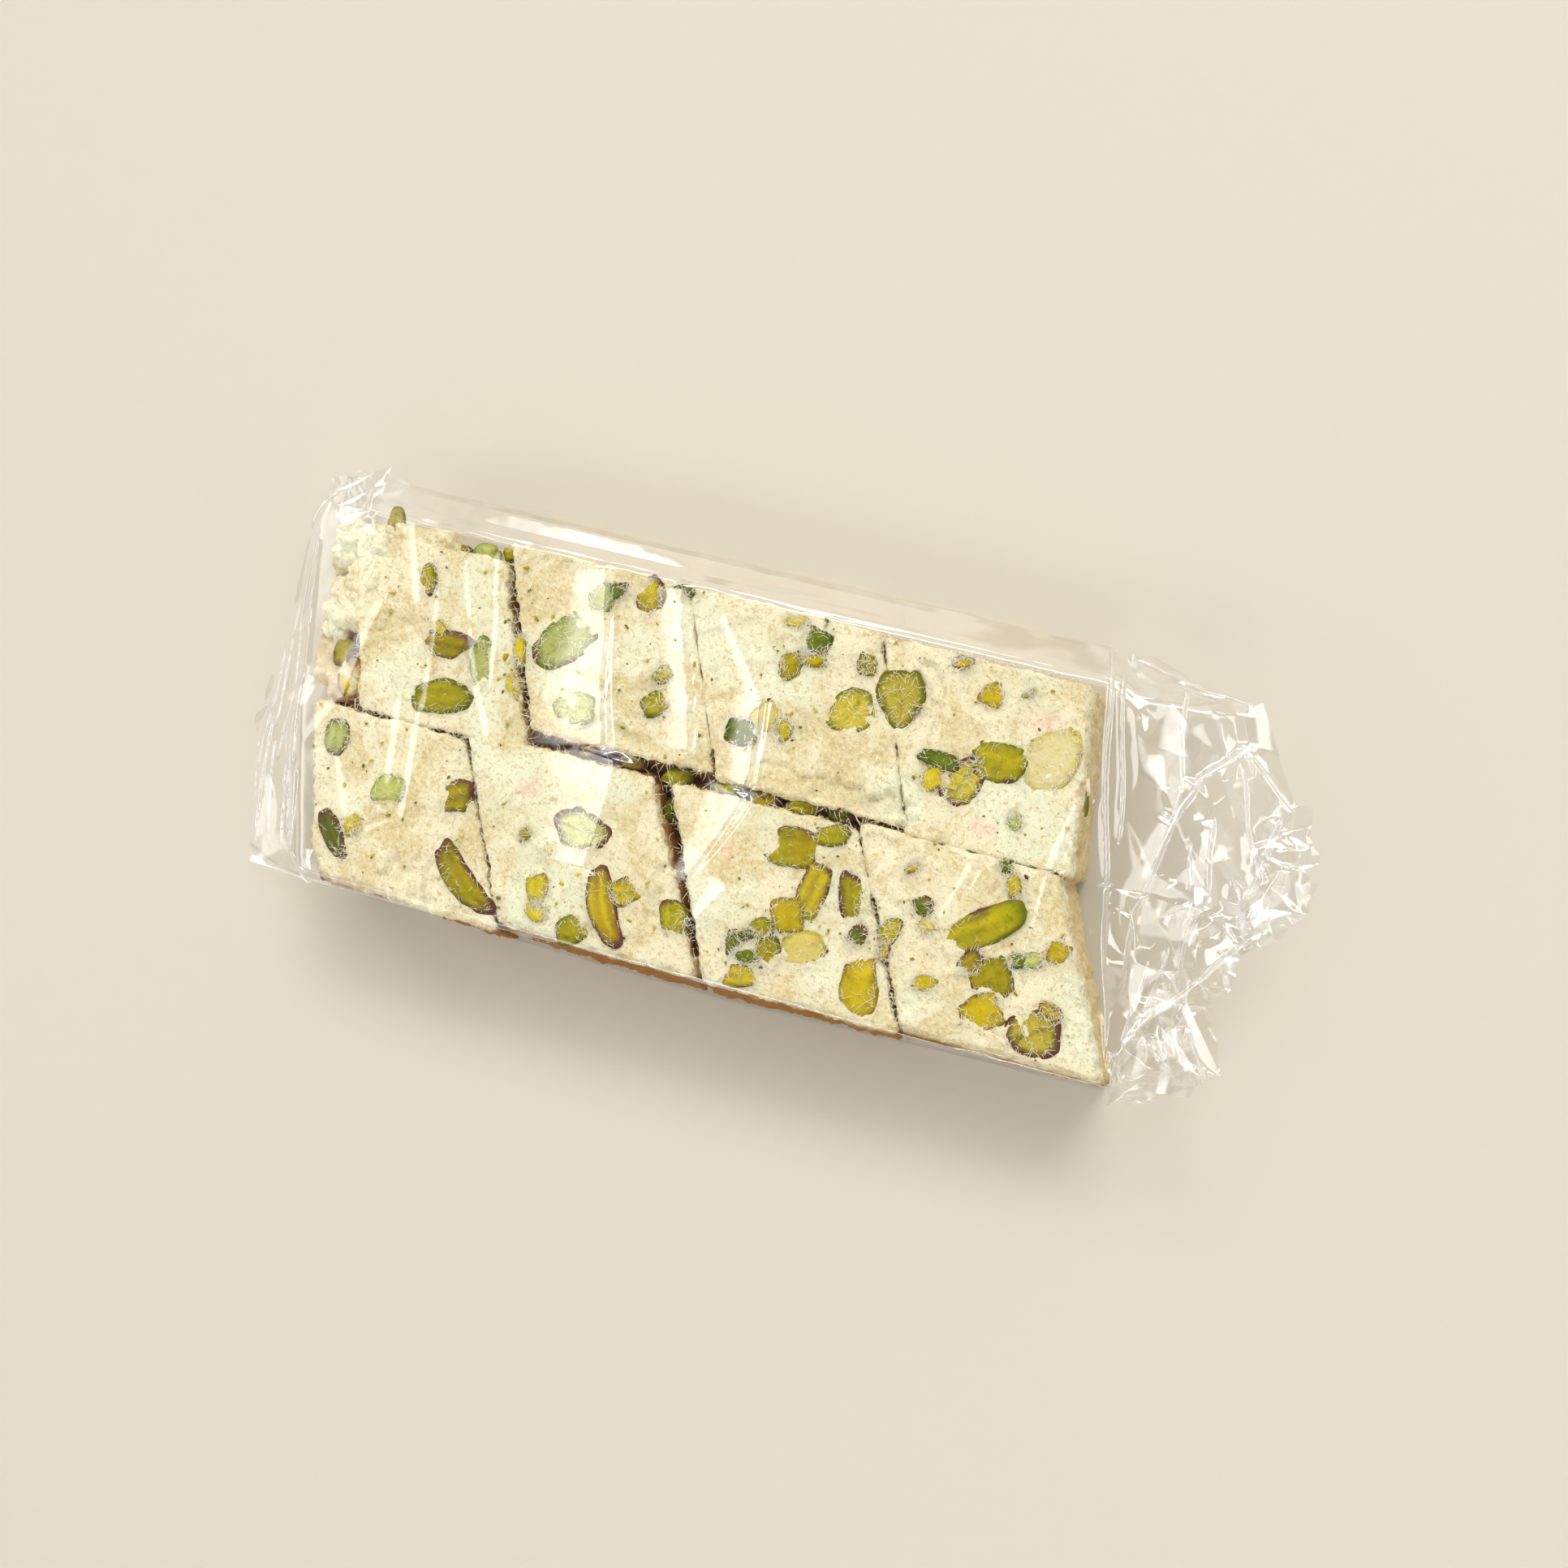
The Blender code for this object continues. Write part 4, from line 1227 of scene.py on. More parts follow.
# the ragged ends: y, x and height of the edge
RIGHT_EDGE = [
    (-38.5, 86.0, 5.0),
    (-36.5, 91.0, 6.0),
    (-33.0, 97.0, 9.0),
    (-27.5, 103.3, 12.0),
    (-22.0, 102.0, 11.0),
    (-16.5, 98.5, 9.0),
    (-12.0, 101.5, 11.0),
    (-6.0, 101.5, 14.0),
    (0.0, 106.2, 17.0),
    (4.0, 110.0, 20.0),
    (9.5, 109.4, 20.5),
    (16.0, 105.0, 19.0),
    (23.0, 103.7, 19.0),
    (30.0, 99.0, 18.0),
    (37.5, 93.8, 18.0),
    (39.0, 84.0, 16.0),
    (43.2, 74.0, 13.0),
]
LEFT_EDGE = [
    (-38.5, -86.0, 3.0),
    (-37.7, -91.6, 3.0),
    (-24.0, -92.0, 5.0),
    (-10.0, -95.6, 6.0),
    (9.0, -91.5, 11.0),
    (32.0, -90.5, 14.0),
    (43.2, -86.0, 15.0),
]
# pleats over the slab: start x, y, end x, y, width of the left side at the start and at
# the end, width of the right side, and how far the left side is pitched, where 1 turns
# it fully to the window
PLEATS = [
    (-68.9, 19.0, -72.6, -1.3, 1.6, 3.0, 1.5, 1.1),
    (-72.6, -1.3, -79.0, -12.0, 1.8, 1.2, 1.5, 1.1),
    (-67.2, 35.5, -61.9, 19.1, 0.8, 1.5, 1.5, 1.1),
    (-59.1, 24.4, -54.5, -1.2, 0.9, 1.4, 1.5, 1.1),
    (-54.6, 31.1, -50.8, 18.5, 0.9, 1.5, 1.5, 1.0),
    (-50.8, 18.5, -40.7, -2.1, 1.5, 2.4, 1.5, 1.0),
    (-48.6, 33.7, -41.8, -0.9, 1.2, 1.7, 1.5, 1.1),
    (-60.5, 2.0, -58.8, -15.3, 1.0, 1.6, 1.5, 1.1),
    (-55.7, 3.5, -54.5, -21.1, 1.3, 1.8, 1.5, 1.0),
    (-54.5, -21.1, -61.6, -24.9, 1.8, 1.2, 1.5, 1.0),
    (-70.8, -11.4, -65.0, -22.4, 0.7, 1.0, 1.5, 1.0),
    (-28.1, 36.3, -18.6, 1.2, 6.5, 16.0, 1.5, 0.94),
    (-12.2, 36.0, -3.0, 4.3, 6.5, 7.5, 1.5, 0.90),
    (-3.5, 32.0, 8.3, 17.2, 2.5, 6.5, 1.5, 1.0),
    (8.3, 19.0, 8.7, 0.4, 8.5, 6.5, 1.5, 1.0),
    (-16.0, 2.0, -17.0, -22.0, 17.0, 10.0, 5.0, 0.92),
    (9.5, 0.8, 1.6, -19.0, 11.0, 3.5, 1.5, 1.0),
    (11.0, -15.4, 5.4, -25.0, 7.0, 2.0, 1.5, 1.0),
    (53.4, 0.0, 49.0, -13.5, 4.0, 2.6, 2.0, 0.93),
    (66.0, 1.0, 65.4, -16.0, 2.8, 2.2, 2.0, 1.0),
    (64.6, -17.0, 63.6, -28.6, 2.2, 1.4, 2.0, 0.95),
    (68.2, 16.2, 66.8, -0.5, 2.2, 4.2, 2.0, 1.0),
    (64.0, 34.7, 69.6, 13.3, 1.6, 2.2, 2.0, 1.0),
]
# the window, the room's brightest panel over the slab, leans so many degrees from
# overhead, to the left
WINDOW_LEAN = 33.0
# how much steeper a pleat is at its crest than on the whole, and how hollow its sides
# and those of the tufts' folds are
PLEAT_CREST = 1.33
PLEAT_HOLLOW = 0.5
TUFT_HOLLOW = 0.35
# where the eye is along the slab and how high over it, in millimetres
EYE_X, EYE_Z = 77.8, 328.0
# the long folds that stand up in the tufts: start, end, width left and right, rise
TUFT_RIDGES = [
    (66.4, 41.0, 75.4, 0.0, 1.8, 0.5, 0.6),
    (75.4, 1.0, 84.0, -35.0, 1.8, 0.5, 0.6),
    (69.6, 40.0, 75.8, 8.0, 1.4, 0.5, 0.5),
    (81.2, 38.0, 84.6, 18.0, 6.0, 0.6, 1.3),
    (94.7, 28.4, 86.4, 20.3, 1.2, 5.0, 1.4),
    (87.4, 21.5, 84.0, 13.0, 4.6, 0.6, 1.4),
    (84.4, 14.0, 80.6, -4.5, 4.6, 0.6, 1.4),
    (81.0, 0.0, 82.8, -13.1, 3.6, 0.6, 1.1),
    (91.4, 16.0, 92.6, -12.0, 5.0, 0.6, 1.0),
    (88.6, 12.0, 91.0, -8.0, 4.0, 0.6, 0.8),
    (92.4, 28.4, 100.9, 9.0, 3.0, 0.6, 0.9),
    (93.2, 28.8, 106.5, 20.0, 0.6, 3.0, 0.9),
    (98.0, 12.3, 109.5, 10.8, 2.6, 0.6, 0.8),
    (103.0, 19.0, 98.0, 3.6, 3.0, 0.6, 0.9),
    (96.4, 8.0, 101.8, -3.0, 3.0, 0.6, 0.8),
    (102.2, -3.6, 96.4, -12.2, 0.6, 4.0, 1.0),
    (97.0, -11.4, 89.4, -19.8, 0.6, 4.4, 1.1),
    (90.2, -19.0, 82.6, -29.6, 0.6, 4.0, 1.1),
    (86.0, -10.0, 85.0, -32.0, 3.4, 0.6, 0.9),
    (90.0, -6.0, 87.4, -20.0, 3.0, 0.6, 0.8),
    (94.6, -16.0, 101.0, -30.0, 3.4, 0.6, 1.0),
    (91.0, -20.0, 95.4, -33.0, 2.6, 0.6, 0.8),
    (88.0, -24.0, 97.0, -31.0, 0.6, 2.6, 0.8),
    (-84.0, 36.0, -82.5, 10.0, 2.2, 0.6, 0.53),
    (-87.4, 31.0, -82.4, 22.0, 1.8, 0.6, 0.46),
    (-82.4, 24.0, -81.2, 3.0, 1.8, 0.6, 0.40),
    (-86.2, 33.0, -85.6, 14.0, 1.6, 0.6, 0.40),
    (-88.6, 30.0, -87.0, 8.0, 2.0, 0.6, 0.46),
    (-84.6, 18.0, -83.0, -8.0, 1.6, 0.5, 0.37),
    (-86.6, 12.0, -85.8, -16.0, 1.8, 0.6, 0.40),
    (-89.6, 16.0, -88.6, -10.0, 1.8, 0.6, 0.40),
    (-91.2, 6.0, -91.4, -20.0, 1.8, 0.6, 0.40),
    (-81.4, 2.0, -79.6, -16.0, 2.0, 0.5, 0.46),
    (-84.0, -6.0, -81.4, -30.0, 2.2, 0.6, 0.53),
    (-87.2, -12.0, -86.0, -35.0, 2.2, 0.6, 0.46),
    (-90.0, -8.0, -89.5, -34.0, 2.4, 0.6, 0.53),
    (-92.6, -12.0, -91.6, -30.0, 1.4, 0.6, 0.40),
    (-78.4, -16.0, -75.6, -35.0, 2.2, 0.6, 0.56),
    (-82.4, -20.0, -80.4, -36.0, 1.8, 0.6, 0.43),
]


def facets(seed, cell, x, y):
    """Heights, from -1 to 1, of a sheet crumpled into crooked three-sided facets."""
    draw = np.random.default_rng(seed)
    count = int(260 * MM / cell) + 6
    heights = draw.uniform(-1, 1, (count, count))
    turned = draw.random((count, count)) < 0.5
    phase = draw.uniform(0, 2 * math.pi, 6)
    angle = draw.uniform(0, math.pi)
    bend = 0.34 * cell
    u = x + bend * (np.sin(y / cell * 1.3 + phase[0]) + 0.6 * np.sin((x + y) / cell * 2.1 + phase[1]))
    v = y + bend * (np.sin(x / cell * 1.2 + phase[2]) + 0.6 * np.sin((x - y) / cell * 1.9 + phase[3]))
    u, v = (
        (u * math.cos(angle) - v * math.sin(angle)) / cell + count / 2,
        (u * math.sin(angle) + v * math.cos(angle)) / cell + count / 2,
    )
    i, j = np.floor(u).astype(int), np.floor(v).astype(int)
    u, v = u - i, v - j
    i, j = np.clip(i, 0, count - 2), np.clip(j, 0, count - 2)
    a, b, c, d = heights[i, j], heights[i + 1, j], heights[i, j + 1], heights[i + 1, j + 1]
    rising = np.where(u > v, a + (b - a) * u + (d - b) * v, a + (d - c) * u + (c - a) * v)
    falling = np.where(
        u + v < 1, a + (b - a) * u + (c - a) * v, d + (c - d) * (1 - u) + (b - d) * (1 - v)
    )
    return np.where(turned[i, j], falling, rising)


def pleat_slope(x, pitch):
    """How steeply a pleat at x has to rise to throw the window's light to the eye."""
    seen_at = math.degrees(math.atan((x - EYE_X) / EYE_Z))
    return math.tan(math.radians((WINDOW_LEAN + seen_at) / 2 * pitch)) / PLEAT_CREST


def tent(x, y, start, end, widths, right, slope, hollow):
    """Height of one sharp fold of film from start to end, over flat film. Its sides
    are straight where hollow is 0, and hang in more the more it is."""
    start, end = np.array(start) * MM, np.array(end) * MM
    length = np.linalg.norm(end - start)
    run = (end - start) / length
    across_line = np.array((run[1], -run[0]))
    if across_line[0] < 0:
        across_line = -across_line
    along = (x - start[0]) * run[0] + (y - start[1]) * run[1]
    across = (x - start[0]) * across_line[0] + (y - start[1]) * across_line[1]
    across = across + 0.35 * MM * np.sin(along / (5.5 * MM) + start[0] / MM)
    left = (widths[0] + (widths[1] - widths[0]) * np.clip(along / length, 0, 1)) * MM
    ends = smooth((np.minimum(along, length - along) + 0.8 * MM) / (2.6 * MM))
    width = np.where(across < 0, left, right * MM)
    share = np.clip(ends - np.abs(across) / width, 0, 1)
    return slope * left * share * (1 - hollow * (1 - share))


def pleated(x, y):
    height = np.zeros_like(x)
    for x0, y0, x1, y1, left_start, left_end, right, pitch in PLEATS:
        slope = pleat_slope((x0 + x1) / 2, pitch)
        one = tent(x, y, (x0, y0), (x1, y1), (left_start, left_end), right, slope, PLEAT_HOLLOW)
        height = np.maximum(height, one)
    return height


def ridged(x, y):
    height = np.zeros_like(x)
    for x0, y0, x1, y1, left, right, rise in TUFT_RIDGES:
        one = tent(x, y, (x0, y0), (x1, y1), (left, left), right, rise / left, TUFT_HOLLOW)
        height = np.maximum(height, one)
    return height


def film_sheet(name, steps_along, steps_across):
    """A flat grid of film, to be shaped."""
    bpy.ops.object.select_all(action="DESELECT")
    bpy.ops.mesh.primitive_grid_add(x_subdivisions=steps_along, y_subdivisions=steps_across, size=1)
    sheet = bpy.context.object
    sheet.name = sheet.data.name = name
    return sheet


def smooth(share):
    share = np.clip(share, 0, 1)
    return share * share * (3 - 2 * share)


# the near and far edges of the tufts, how much the left tuft is crumpled against the
# right one, and how far the crumple slides the film sideways
NEAR_TIP, FAR_TIP = -38.5 * MM, 43.2 * MM
LEFT_CRUMPLE = 0.5
CRUMPLE_SLIDE = 1.5 * MM


def bag_shape(run, across, is_top):
    """The bag before it is crumpled: x, y and z of each point, how far out in a tuft it
    lies, how loose the film is there, and how far it is from the bag's two long folds."""
    out = np.clip(run - 1, 0, 1) + np.clip(-run, 0, 1)
    is_right = run > 0.5
    loose = smooth(out * 2.5)
    table = np.array(OVER_SLAB if is_top else UNDER_SLAB)
    y_slab = np.interp(across, table[:, 0], table[:, 1]) * MM
    z_slab = np.interp(across, table[:, 0], table[:, 2]) * MM
    x_about = (-75 + 157 * np.clip(run, 0, 1)) * MM
    fold, foot = along_points(NEAR_SIDE, x_about), along_points(NEAR_SIDE, x_about, 2)
    y_wall = foot + (fold - foot) * np.clip(across / 0.10, 0, 1) ** 0.8
    y_slab = np.where(across < 0.10, y_wall, np.maximum(y_slab, fold))
    y_tuft = NEAR_TIP + (FAR_TIP - NEAR_TIP) * across
    y = y_slab + (y_tuft - y_slab) * loose
    x_left, x_right = along_points(LEFT_END, y), along_points(RIGHT_END, y)
    x_slab = x_left + (x_right - x_left) * np.clip(run, 0, 1)
    x_out = np.where(is_right, along_points(RIGHT_EDGE, y), along_points(LEFT_EDGE, y))
    x = x_slab + (x_out - x_slab) * out
    z_out = np.where(is_right, along_points(RIGHT_EDGE, y, 2), along_points(LEFT_EDGE, y, 2))
    rim = smooth(np.minimum(across, 1 - across) / 0.12)
    z_floor = FILM_LOW + np.maximum(z_out - 4 * MM, 0) * out**2.2
    z_tuft = FILM_TOP - 1.5 * MM + (z_out - FILM_TOP + 1.5 * MM) * out
    share = 0.30 + 0.70 * rim if is_top else 0.30 * (1 - rim)
    z_tuft = z_floor + (z_tuft - z_floor) * share
    return x, y, z_slab + (z_tuft - z_slab) * loose, out, loose, rim


def bag_place(run, across, is_top, seed):
    """Where a point of the bag lies. run is -1 to 0 in the left tuft, 0 to 1 over the
    slab and 1 to 2 in the right tuft; across is 0 at the near side and 1 at the far fold."""
    x, y, z, out, loose, rim = bag_shape(run, across, is_top)
    tight = 1 - loose

    def folds(number, cell):
        """The crumple of this sheet, which at the edges is the same for both sheets."""
        return facets(seed + number, cell, x, y) * rim + facets(80 + number, cell, x, y) * (1 - rim)

    # the crumple: broad facets everywhere in the tufts, finer ones further out
    side = np.where(run > 0.5, 1.0, LEFT_CRUMPLE)
    strength = loose * side * (1 - 0.45 * smooth((out - 0.8) / 0.2))
    floor_share = 1.0 if is_top else 0.35 + 0.4 * out
    crumple = 2.2 * MM * folds(0, 13 * MM)
    crumple = crumple + 0.95 * MM * folds(1, 6.5 * MM) * smooth(out * 1.5)
    crumple = crumple + 0.28 * MM * folds(2, 3.0 * MM) * smooth(out * 1.2 - 0.2)
    z = z + crumple * strength * (floor_share * rim + 0.5 * (1 - rim))
    slide = CRUMPLE_SLIDE * strength
    x_new = x + slide * folds(3, 12 * MM) * (0.4 + 0.6 * out)
    y_new = y + slide * folds(4, 12 * MM) * rim
    # the skirt is crimped, and lifted towards its left end
    skirt = smooth((across - 0.84) / 0.16) * tight
    crimp = 0.38 * MM * folds(5, 11.0 * MM) + 0.10 * MM * folds(6, 4.0 * MM)
    lift = along_points(SKIRT_LIFT, x) * np.clip((across - 0.90) / 0.045, 0, 1) * tight
    z = z + crimp * skirt + lift
    if is_top:
        # pleats and a little slack over the slab, long folds in the tufts
        on_slab = tight * (across > 0.11) * (across < 0.86)
        slack = 0.09 * MM * facets(seed + 7, 21 * MM, x, y)
        z = z + (pleated(x, y) + slack) * on_slab
        z = z + ridged(x, y) * smooth(out * 12) * (0.3 + 0.7 * rim)
        wall = smooth(1 - across / 0.11) * tight * (across > 0.0)
        y_new = y_new + 0.3 * MM * facets(seed + 8, 7.0 * MM, x, z * 2) * wall
        # the film's two long edges lie in scallops, not in a straight line
        near_edge = smooth(1 - np.abs(across - 0.115) / 0.03) * tight
        far_edge = smooth(1 - np.abs(across - 0.85) / 0.05) * tight
        broad = facets(seed + 9, 9.5 * MM, x, y * 0.3)
        narrow = facets(seed + 11, 4.3 * MM, x, y * 0.3)
        y_new = y_new + (0.6 * broad + 0.4 * narrow) * (0.20 * near_edge + 0.45 * far_edge) * MM
        sag = 0.20 + 0.15 * facets(seed + 10, 5.5 * MM, x, y * 0.3)
        z = z - sag * MM * (near_edge + far_edge)
    else:
        # what hangs down behind the skirt is wrinkled
        hanging = smooth((across - 0.84) / 0.05) * smooth((1 - across) / 0.05) * tight
        wrinkles = 0.9 * facets(seed + 7, 10 * MM, x, z) + 0.3 * facets(seed + 8, 4 * MM, x, z)
        y_new = y_new + wrinkles * MM * hanging
    return np.stack([x_new, y_new, np.maximum(z, FILM_LOW * 0.6)], axis=1)


# grid lines along and across the bag, closer where it is crumpled
RUN_LINES = [(-1.0, 0), (0.0, 60), (1.0, 270), (2.0, 410)]
RUN_LINES_UNDER = [(-1.0, 0), (0.0, 34), (1.0, 64), (2.0, 134)]
ACROSS_LINES = [(0.0, 0), (0.12, 26), (0.84, 160), (1.0, 192)]


def bag_sheet(name, lines_along, is_top, seed):
    sheet = film_sheet(name, lines_along[-1][1], ACROSS_LINES[-1][1])
    points = points_of(sheet.data)
    run_values, run_lines = zip(*lines_along)
    across_values, across_lines = zip(*ACROSS_LINES)
    run = np.interp((points[:, 0] + 0.5) * run_lines[-1], run_lines, run_values)
    across = np.interp((points[:, 1] + 0.5) * across_lines[-1], across_lines, across_values)
    set_points(sheet.data, bag_place(run, across, is_top, seed))
    return sheet


film_top = bag_sheet("film_over", RUN_LINES, True, 21)
film_under = bag_sheet("film_under", RUN_LINES_UNDER, False, 41)

# flaps of film folded over: four corners each in millimetres, and how much they crumple
FLAPS = {
    "film_flap_turned_up": (
        [(-86.5, 39.0, 17.5), (-73.4, 43.6, 21.8), (-82.8, 31.6, 19.4), (-73.6, 30.8, 20.0)],
        0.5,
    ),
    "film_flap_far_end": (
        [(96.0, 24.0, 19.5), (106.5, 22.5, 19.5), (99.5, 8.0, 20.5), (109.5, 12.0, 20.5)],
        0.8,
    ),
    "film_flap_near_end": (
        [(85.0, -19.0, 16.0), (96.5, -20.0, 14.5), (85.5, -33.5, 11.5), (99.5, -33.0, 9.0)],
        1.2,
    ),
    "film_flap_right_side": (
        [(97.0, 8.0, 16.5), (109.8, 9.0, 18.5), (97.0, -7.0, 12.5), (107.5, -1.5, 14.0)],
        0.6,
    ),
}
FLAP_LINES = 56


def flap(name, corners, crumple, seed):
    sheet = film_sheet(name, FLAP_LINES, FLAP_LINES)
    points = points_of(sheet.data)
    u, v = (points[:, 0] + 0.5)[:, None], (points[:, 1] + 0.5)[:, None]
    a, b, c, d = (np.array(corner, float)[None] * MM for corner in corners)
    place = (a * (1 - u) + b * u) * v + (c * (1 - u) + d * u) * (1 - v)
    x, y = place[:, 0].copy(), place[:, 1].copy()
    bend = 1.3 * MM * facets(seed, 6.0 * MM, x, y) + 0.4 * MM * facets(seed + 1, 2.6 * MM, x, y)
    place[:, 2] += crumple * bend
    place[:, 0] += 1.2 * MM * facets(seed + 2, 5.0 * MM, x, y)
    place[:, 1] += 1.2 * MM * facets(seed + 3, 5.0 * MM, x, y)
    set_points(sheet.data, place)
    return sheet


film_flaps = [
    flap(name, corners, crumple, 60 + 7 * n)
    for n, (name, (corners, crumple)) in enumerate(FLAPS.items())
]

# facets that lie just so that they throw the window's light up: outline and height
WINDOW_WAY = Vector((-math.sin(math.radians(WINDOW_LEAN)), 0, math.cos(math.radians(WINDOW_LEAN))))
EYE_PLACE = Vector((77.8, -1.5, 345.8)) * MM
SHINING = [
    ([(79.1, 34.6), (86.0, 28.9), (85.3, 25.4), (80.1, 26.1), (76.3, 26.8)], 18.4),
    ([(75.8, 24.7), (80.5, 25.4), (82.4, 18.6), (80.1, 19.8), (75.8, 21.4)], 18.2),
    ([(94.0, 38.1), (99.0, 29.6), (94.1, 30.1), (92.5, 28.4), (93.1, 31.2), (91.1, 35.7)], 20.2),
    ([(86.4, 20.6), (85.6, 17.4), (84.2, 11.0), (82.7, 6.6), (82.9, 12.0), (84.1, 17.0)], 19.6),
    ([(82.2, -11.0), (90.1, -12.3), (87.5, -15.0), (85.4, -21.0)], 16.4),
    ([(94.4, -16.0), (103.1, -27.1), (98.3, -25.0), (92.4, -19.9)], 13.6),
    ([(85.8, -2.9), (88.4, -1.3), (88.1, -4.0)], 18.0),
    ([(101.4, 0.8), (103.5, 4.1), (103.6, 0.8)], 18.6),
    ([(80.4, -2.0), (82.8, -5.4), (83.6, -10.0), (81.8, -5.7)], 17.4),
    ([(86.0, -27.4), (88.5, -23.9), (92.4, -29.0), (88.5, -32.1)], 11.6),
    ([(90.5, -21.3), (96.7, -24.4), (100.2, -28.2), (93.8, -26.5)], 12.0),
    ([(92.6, -27.0), (96.6, -29.3), (95.5, -33.0), (92.2, -33.3)], 10.6),
    ([(-84.6, 37.4), (-78.2, 41.8), (-80.0, 39.2)], 19.6),
    ([(-83.6, 34.4), (-77.6, 38.6), (-79.0, 36.0)], 20.0),
    ([(-82.8, 32.4), (-76.2, 35.0), (-78.4, 32.6)], 20.2),
]
# their soft rim, their slight dome and how white they are
FACET_RIM = 0.35 * MM
FACET_DOME = 0.10 * MM
FACET_WHITE = (0.0, 0.2)
# a fold whitens from this angle on, in radians, and is white after so much more
CREASE_FROM, CREASE_OVER = 0.25, 0.6
# how white a crease is, and how much of the mirror is left on it
CREASE_WHITE = 0.30
CREASE_MIRROR = 0.2


def shining_facet(outline, height):
    """A small flat fold of film, tilted to throw the window's light to the eye."""
    bpy.ops.object.select_all(action="DESELECT")
    bpy.ops.mesh.primitive_circle_add(vertices=len(outline), radius=MM, fill_type="NGON")
    sheet = bpy.context.object
    middle = Vector((*np.mean(outline, axis=0), height)) * MM
    facing = ((EYE_PLACE - middle).normalized() + WINDOW_WAY).normalized()
    points = []
    for x, y in outline:
        dx, dy = x * MM - middle.x, y * MM - middle.y
        points.append((x * MM, y * MM, middle.z - (facing.x * dx + facing.y * dy) / facing.z))
    set_points(sheet.data, np.array(points))
    begin_edit(sheet)
    bpy.ops.mesh.select_all(action="SELECT")
    bpy.ops.mesh.normals_make_consistent(inside=False)
    bpy.ops.mesh.inset(thickness=FACET_RIM, depth=FACET_DOME)
    end_edit()
    return sheet


film_facets = join_all([shining_facet(*row) for row in SHINING], "film_facets")


def mark_creases(sheet):
    """How sharply the sheet folds at each point, for the whitened line along a fold."""
    mesh = sheet.data
    bm = bmesh.new()
    bm.from_mesh(mesh)
    sharp = np.zeros(len(bm.verts), np.float32)
    for edge in bm.edges:
        if len(edge.link_faces) == 2:
            angle = edge.calc_face_angle(0)
            for v in edge.verts:
                sharp[v.index] = max(sharp[v.index], angle)
    bm.free()
    white = np.clip((sharp - CREASE_FROM) / CREASE_OVER, 0, 1)
    if sheet == film_facets:
        white = np.random.default_rng(8).uniform(*FACET_WHITE, len(white))
    mark_points(mesh, "crease", white)


def film_material():
    material, tree, shader, where = new_material("film")
    tree.nodes.remove(shader)
    clear = add(tree, "ShaderNodeBsdfTransparent")
    shade = add(tree, "ShaderNodeBsdfTransparent")
    shade.inputs["Color"].default_value = FILM_SHADE
    gloss = add(tree, "ShaderNodeBsdfPrincipled", Roughness=FILM_GLOSS)
    gloss.inputs["Base Color"].default_value = (1.0, 1.0, 1.0, 1.0)
    ripple = add(tree, "ShaderNodeTexNoise", Scale=FILM_RIPPLE, Detail=2.0, Roughness=0.5)
    bump = add(tree, "ShaderNodeBump", Strength=0.12, Distance=0.0005)
    # the film mirrors alike from both sides: seen from behind, the node turns its index over
    behind = add(tree, "ShaderNodeNewGeometry").outputs["Backfacing"]
    mirror = add(tree, "ShaderNodeFresnel")
    tree.links.new(ranged(tree, behind, FILM_INDEX, 1 / FILM_INDEX), mirror.inputs["IOR"])
    # a crease is whiter, and scatters the light where the film between mirrors it
    crease = masked(tree, "crease")
    both = maths(tree, "MULTIPLY", mirror.outputs[0], FILM_FACES)
    white = maths(tree, "ADD", maths(tree, "MULTIPLY", crease, CREASE_WHITE), both, clamp=True)
    mixed = add(tree, "ShaderNodeMixShader")
    lit = add(tree, "ShaderNodeMixShader")
    path = add(tree, "ShaderNodeLightPath")
    wire(
        tree,
        (where.outputs["Object"], ripple.inputs["Vector"]),
        (ripple.outputs[0], bump.inputs["Height"]),
        (bump.outputs[0], gloss.inputs["Normal"]),
        (ranged(tree, crease, 1.0, CREASE_MIRROR), gloss.inputs["Metallic"]),
        (white, mixed.inputs[0]),
        (clear.outputs[0], mixed.inputs[1]),
        (gloss.outputs[0], mixed.inputs[2]),
        (path.outputs["Is Shadow Ray"], lit.inputs[0]),
        (mixed.outputs[0], lit.inputs[1]),
        (shade.outputs[0], lit.inputs[2]),
        (lit.outputs[0], tree.nodes["Material Output"].inputs["Surface"]),
    )
    return material


film = film_material()
for sheet in [film_top, film_under, film_facets] + film_flaps:
    mark_creases(sheet)
    finish_piece(sheet, film)
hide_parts("halva_bag")

# ---------------------------------------------------------------------------
# The table, the light and the camera. A pale table, a softly lit room whose
# bright panels flash in the folds of the film, and the view from above.
TABLE_SIZE = 3.0
TABLE_COLOR = paint(212, 205, 190)
CAMERA_PLACE = Vector((0.0778, -0.0015, 0.3458))
CAMERA_AHEAD = Vector((-0.18823, 0.01607, -0.98199))
CAMERA_UP = Vector((-0.24210, 0.96825, 0.06225))
CAMERA_LENS = 41.83
ROOM_GLOW = 0.24
# the room is darker where the film mirrors it than where it lights matt things
ROOM_MIRRORED = 0.07
ROOM_COLOR = (1.0, 0.995, 0.98, 1.0)
# how bright the room is where the camera sees it past the table
BACKDROP_GLOW = 0.9
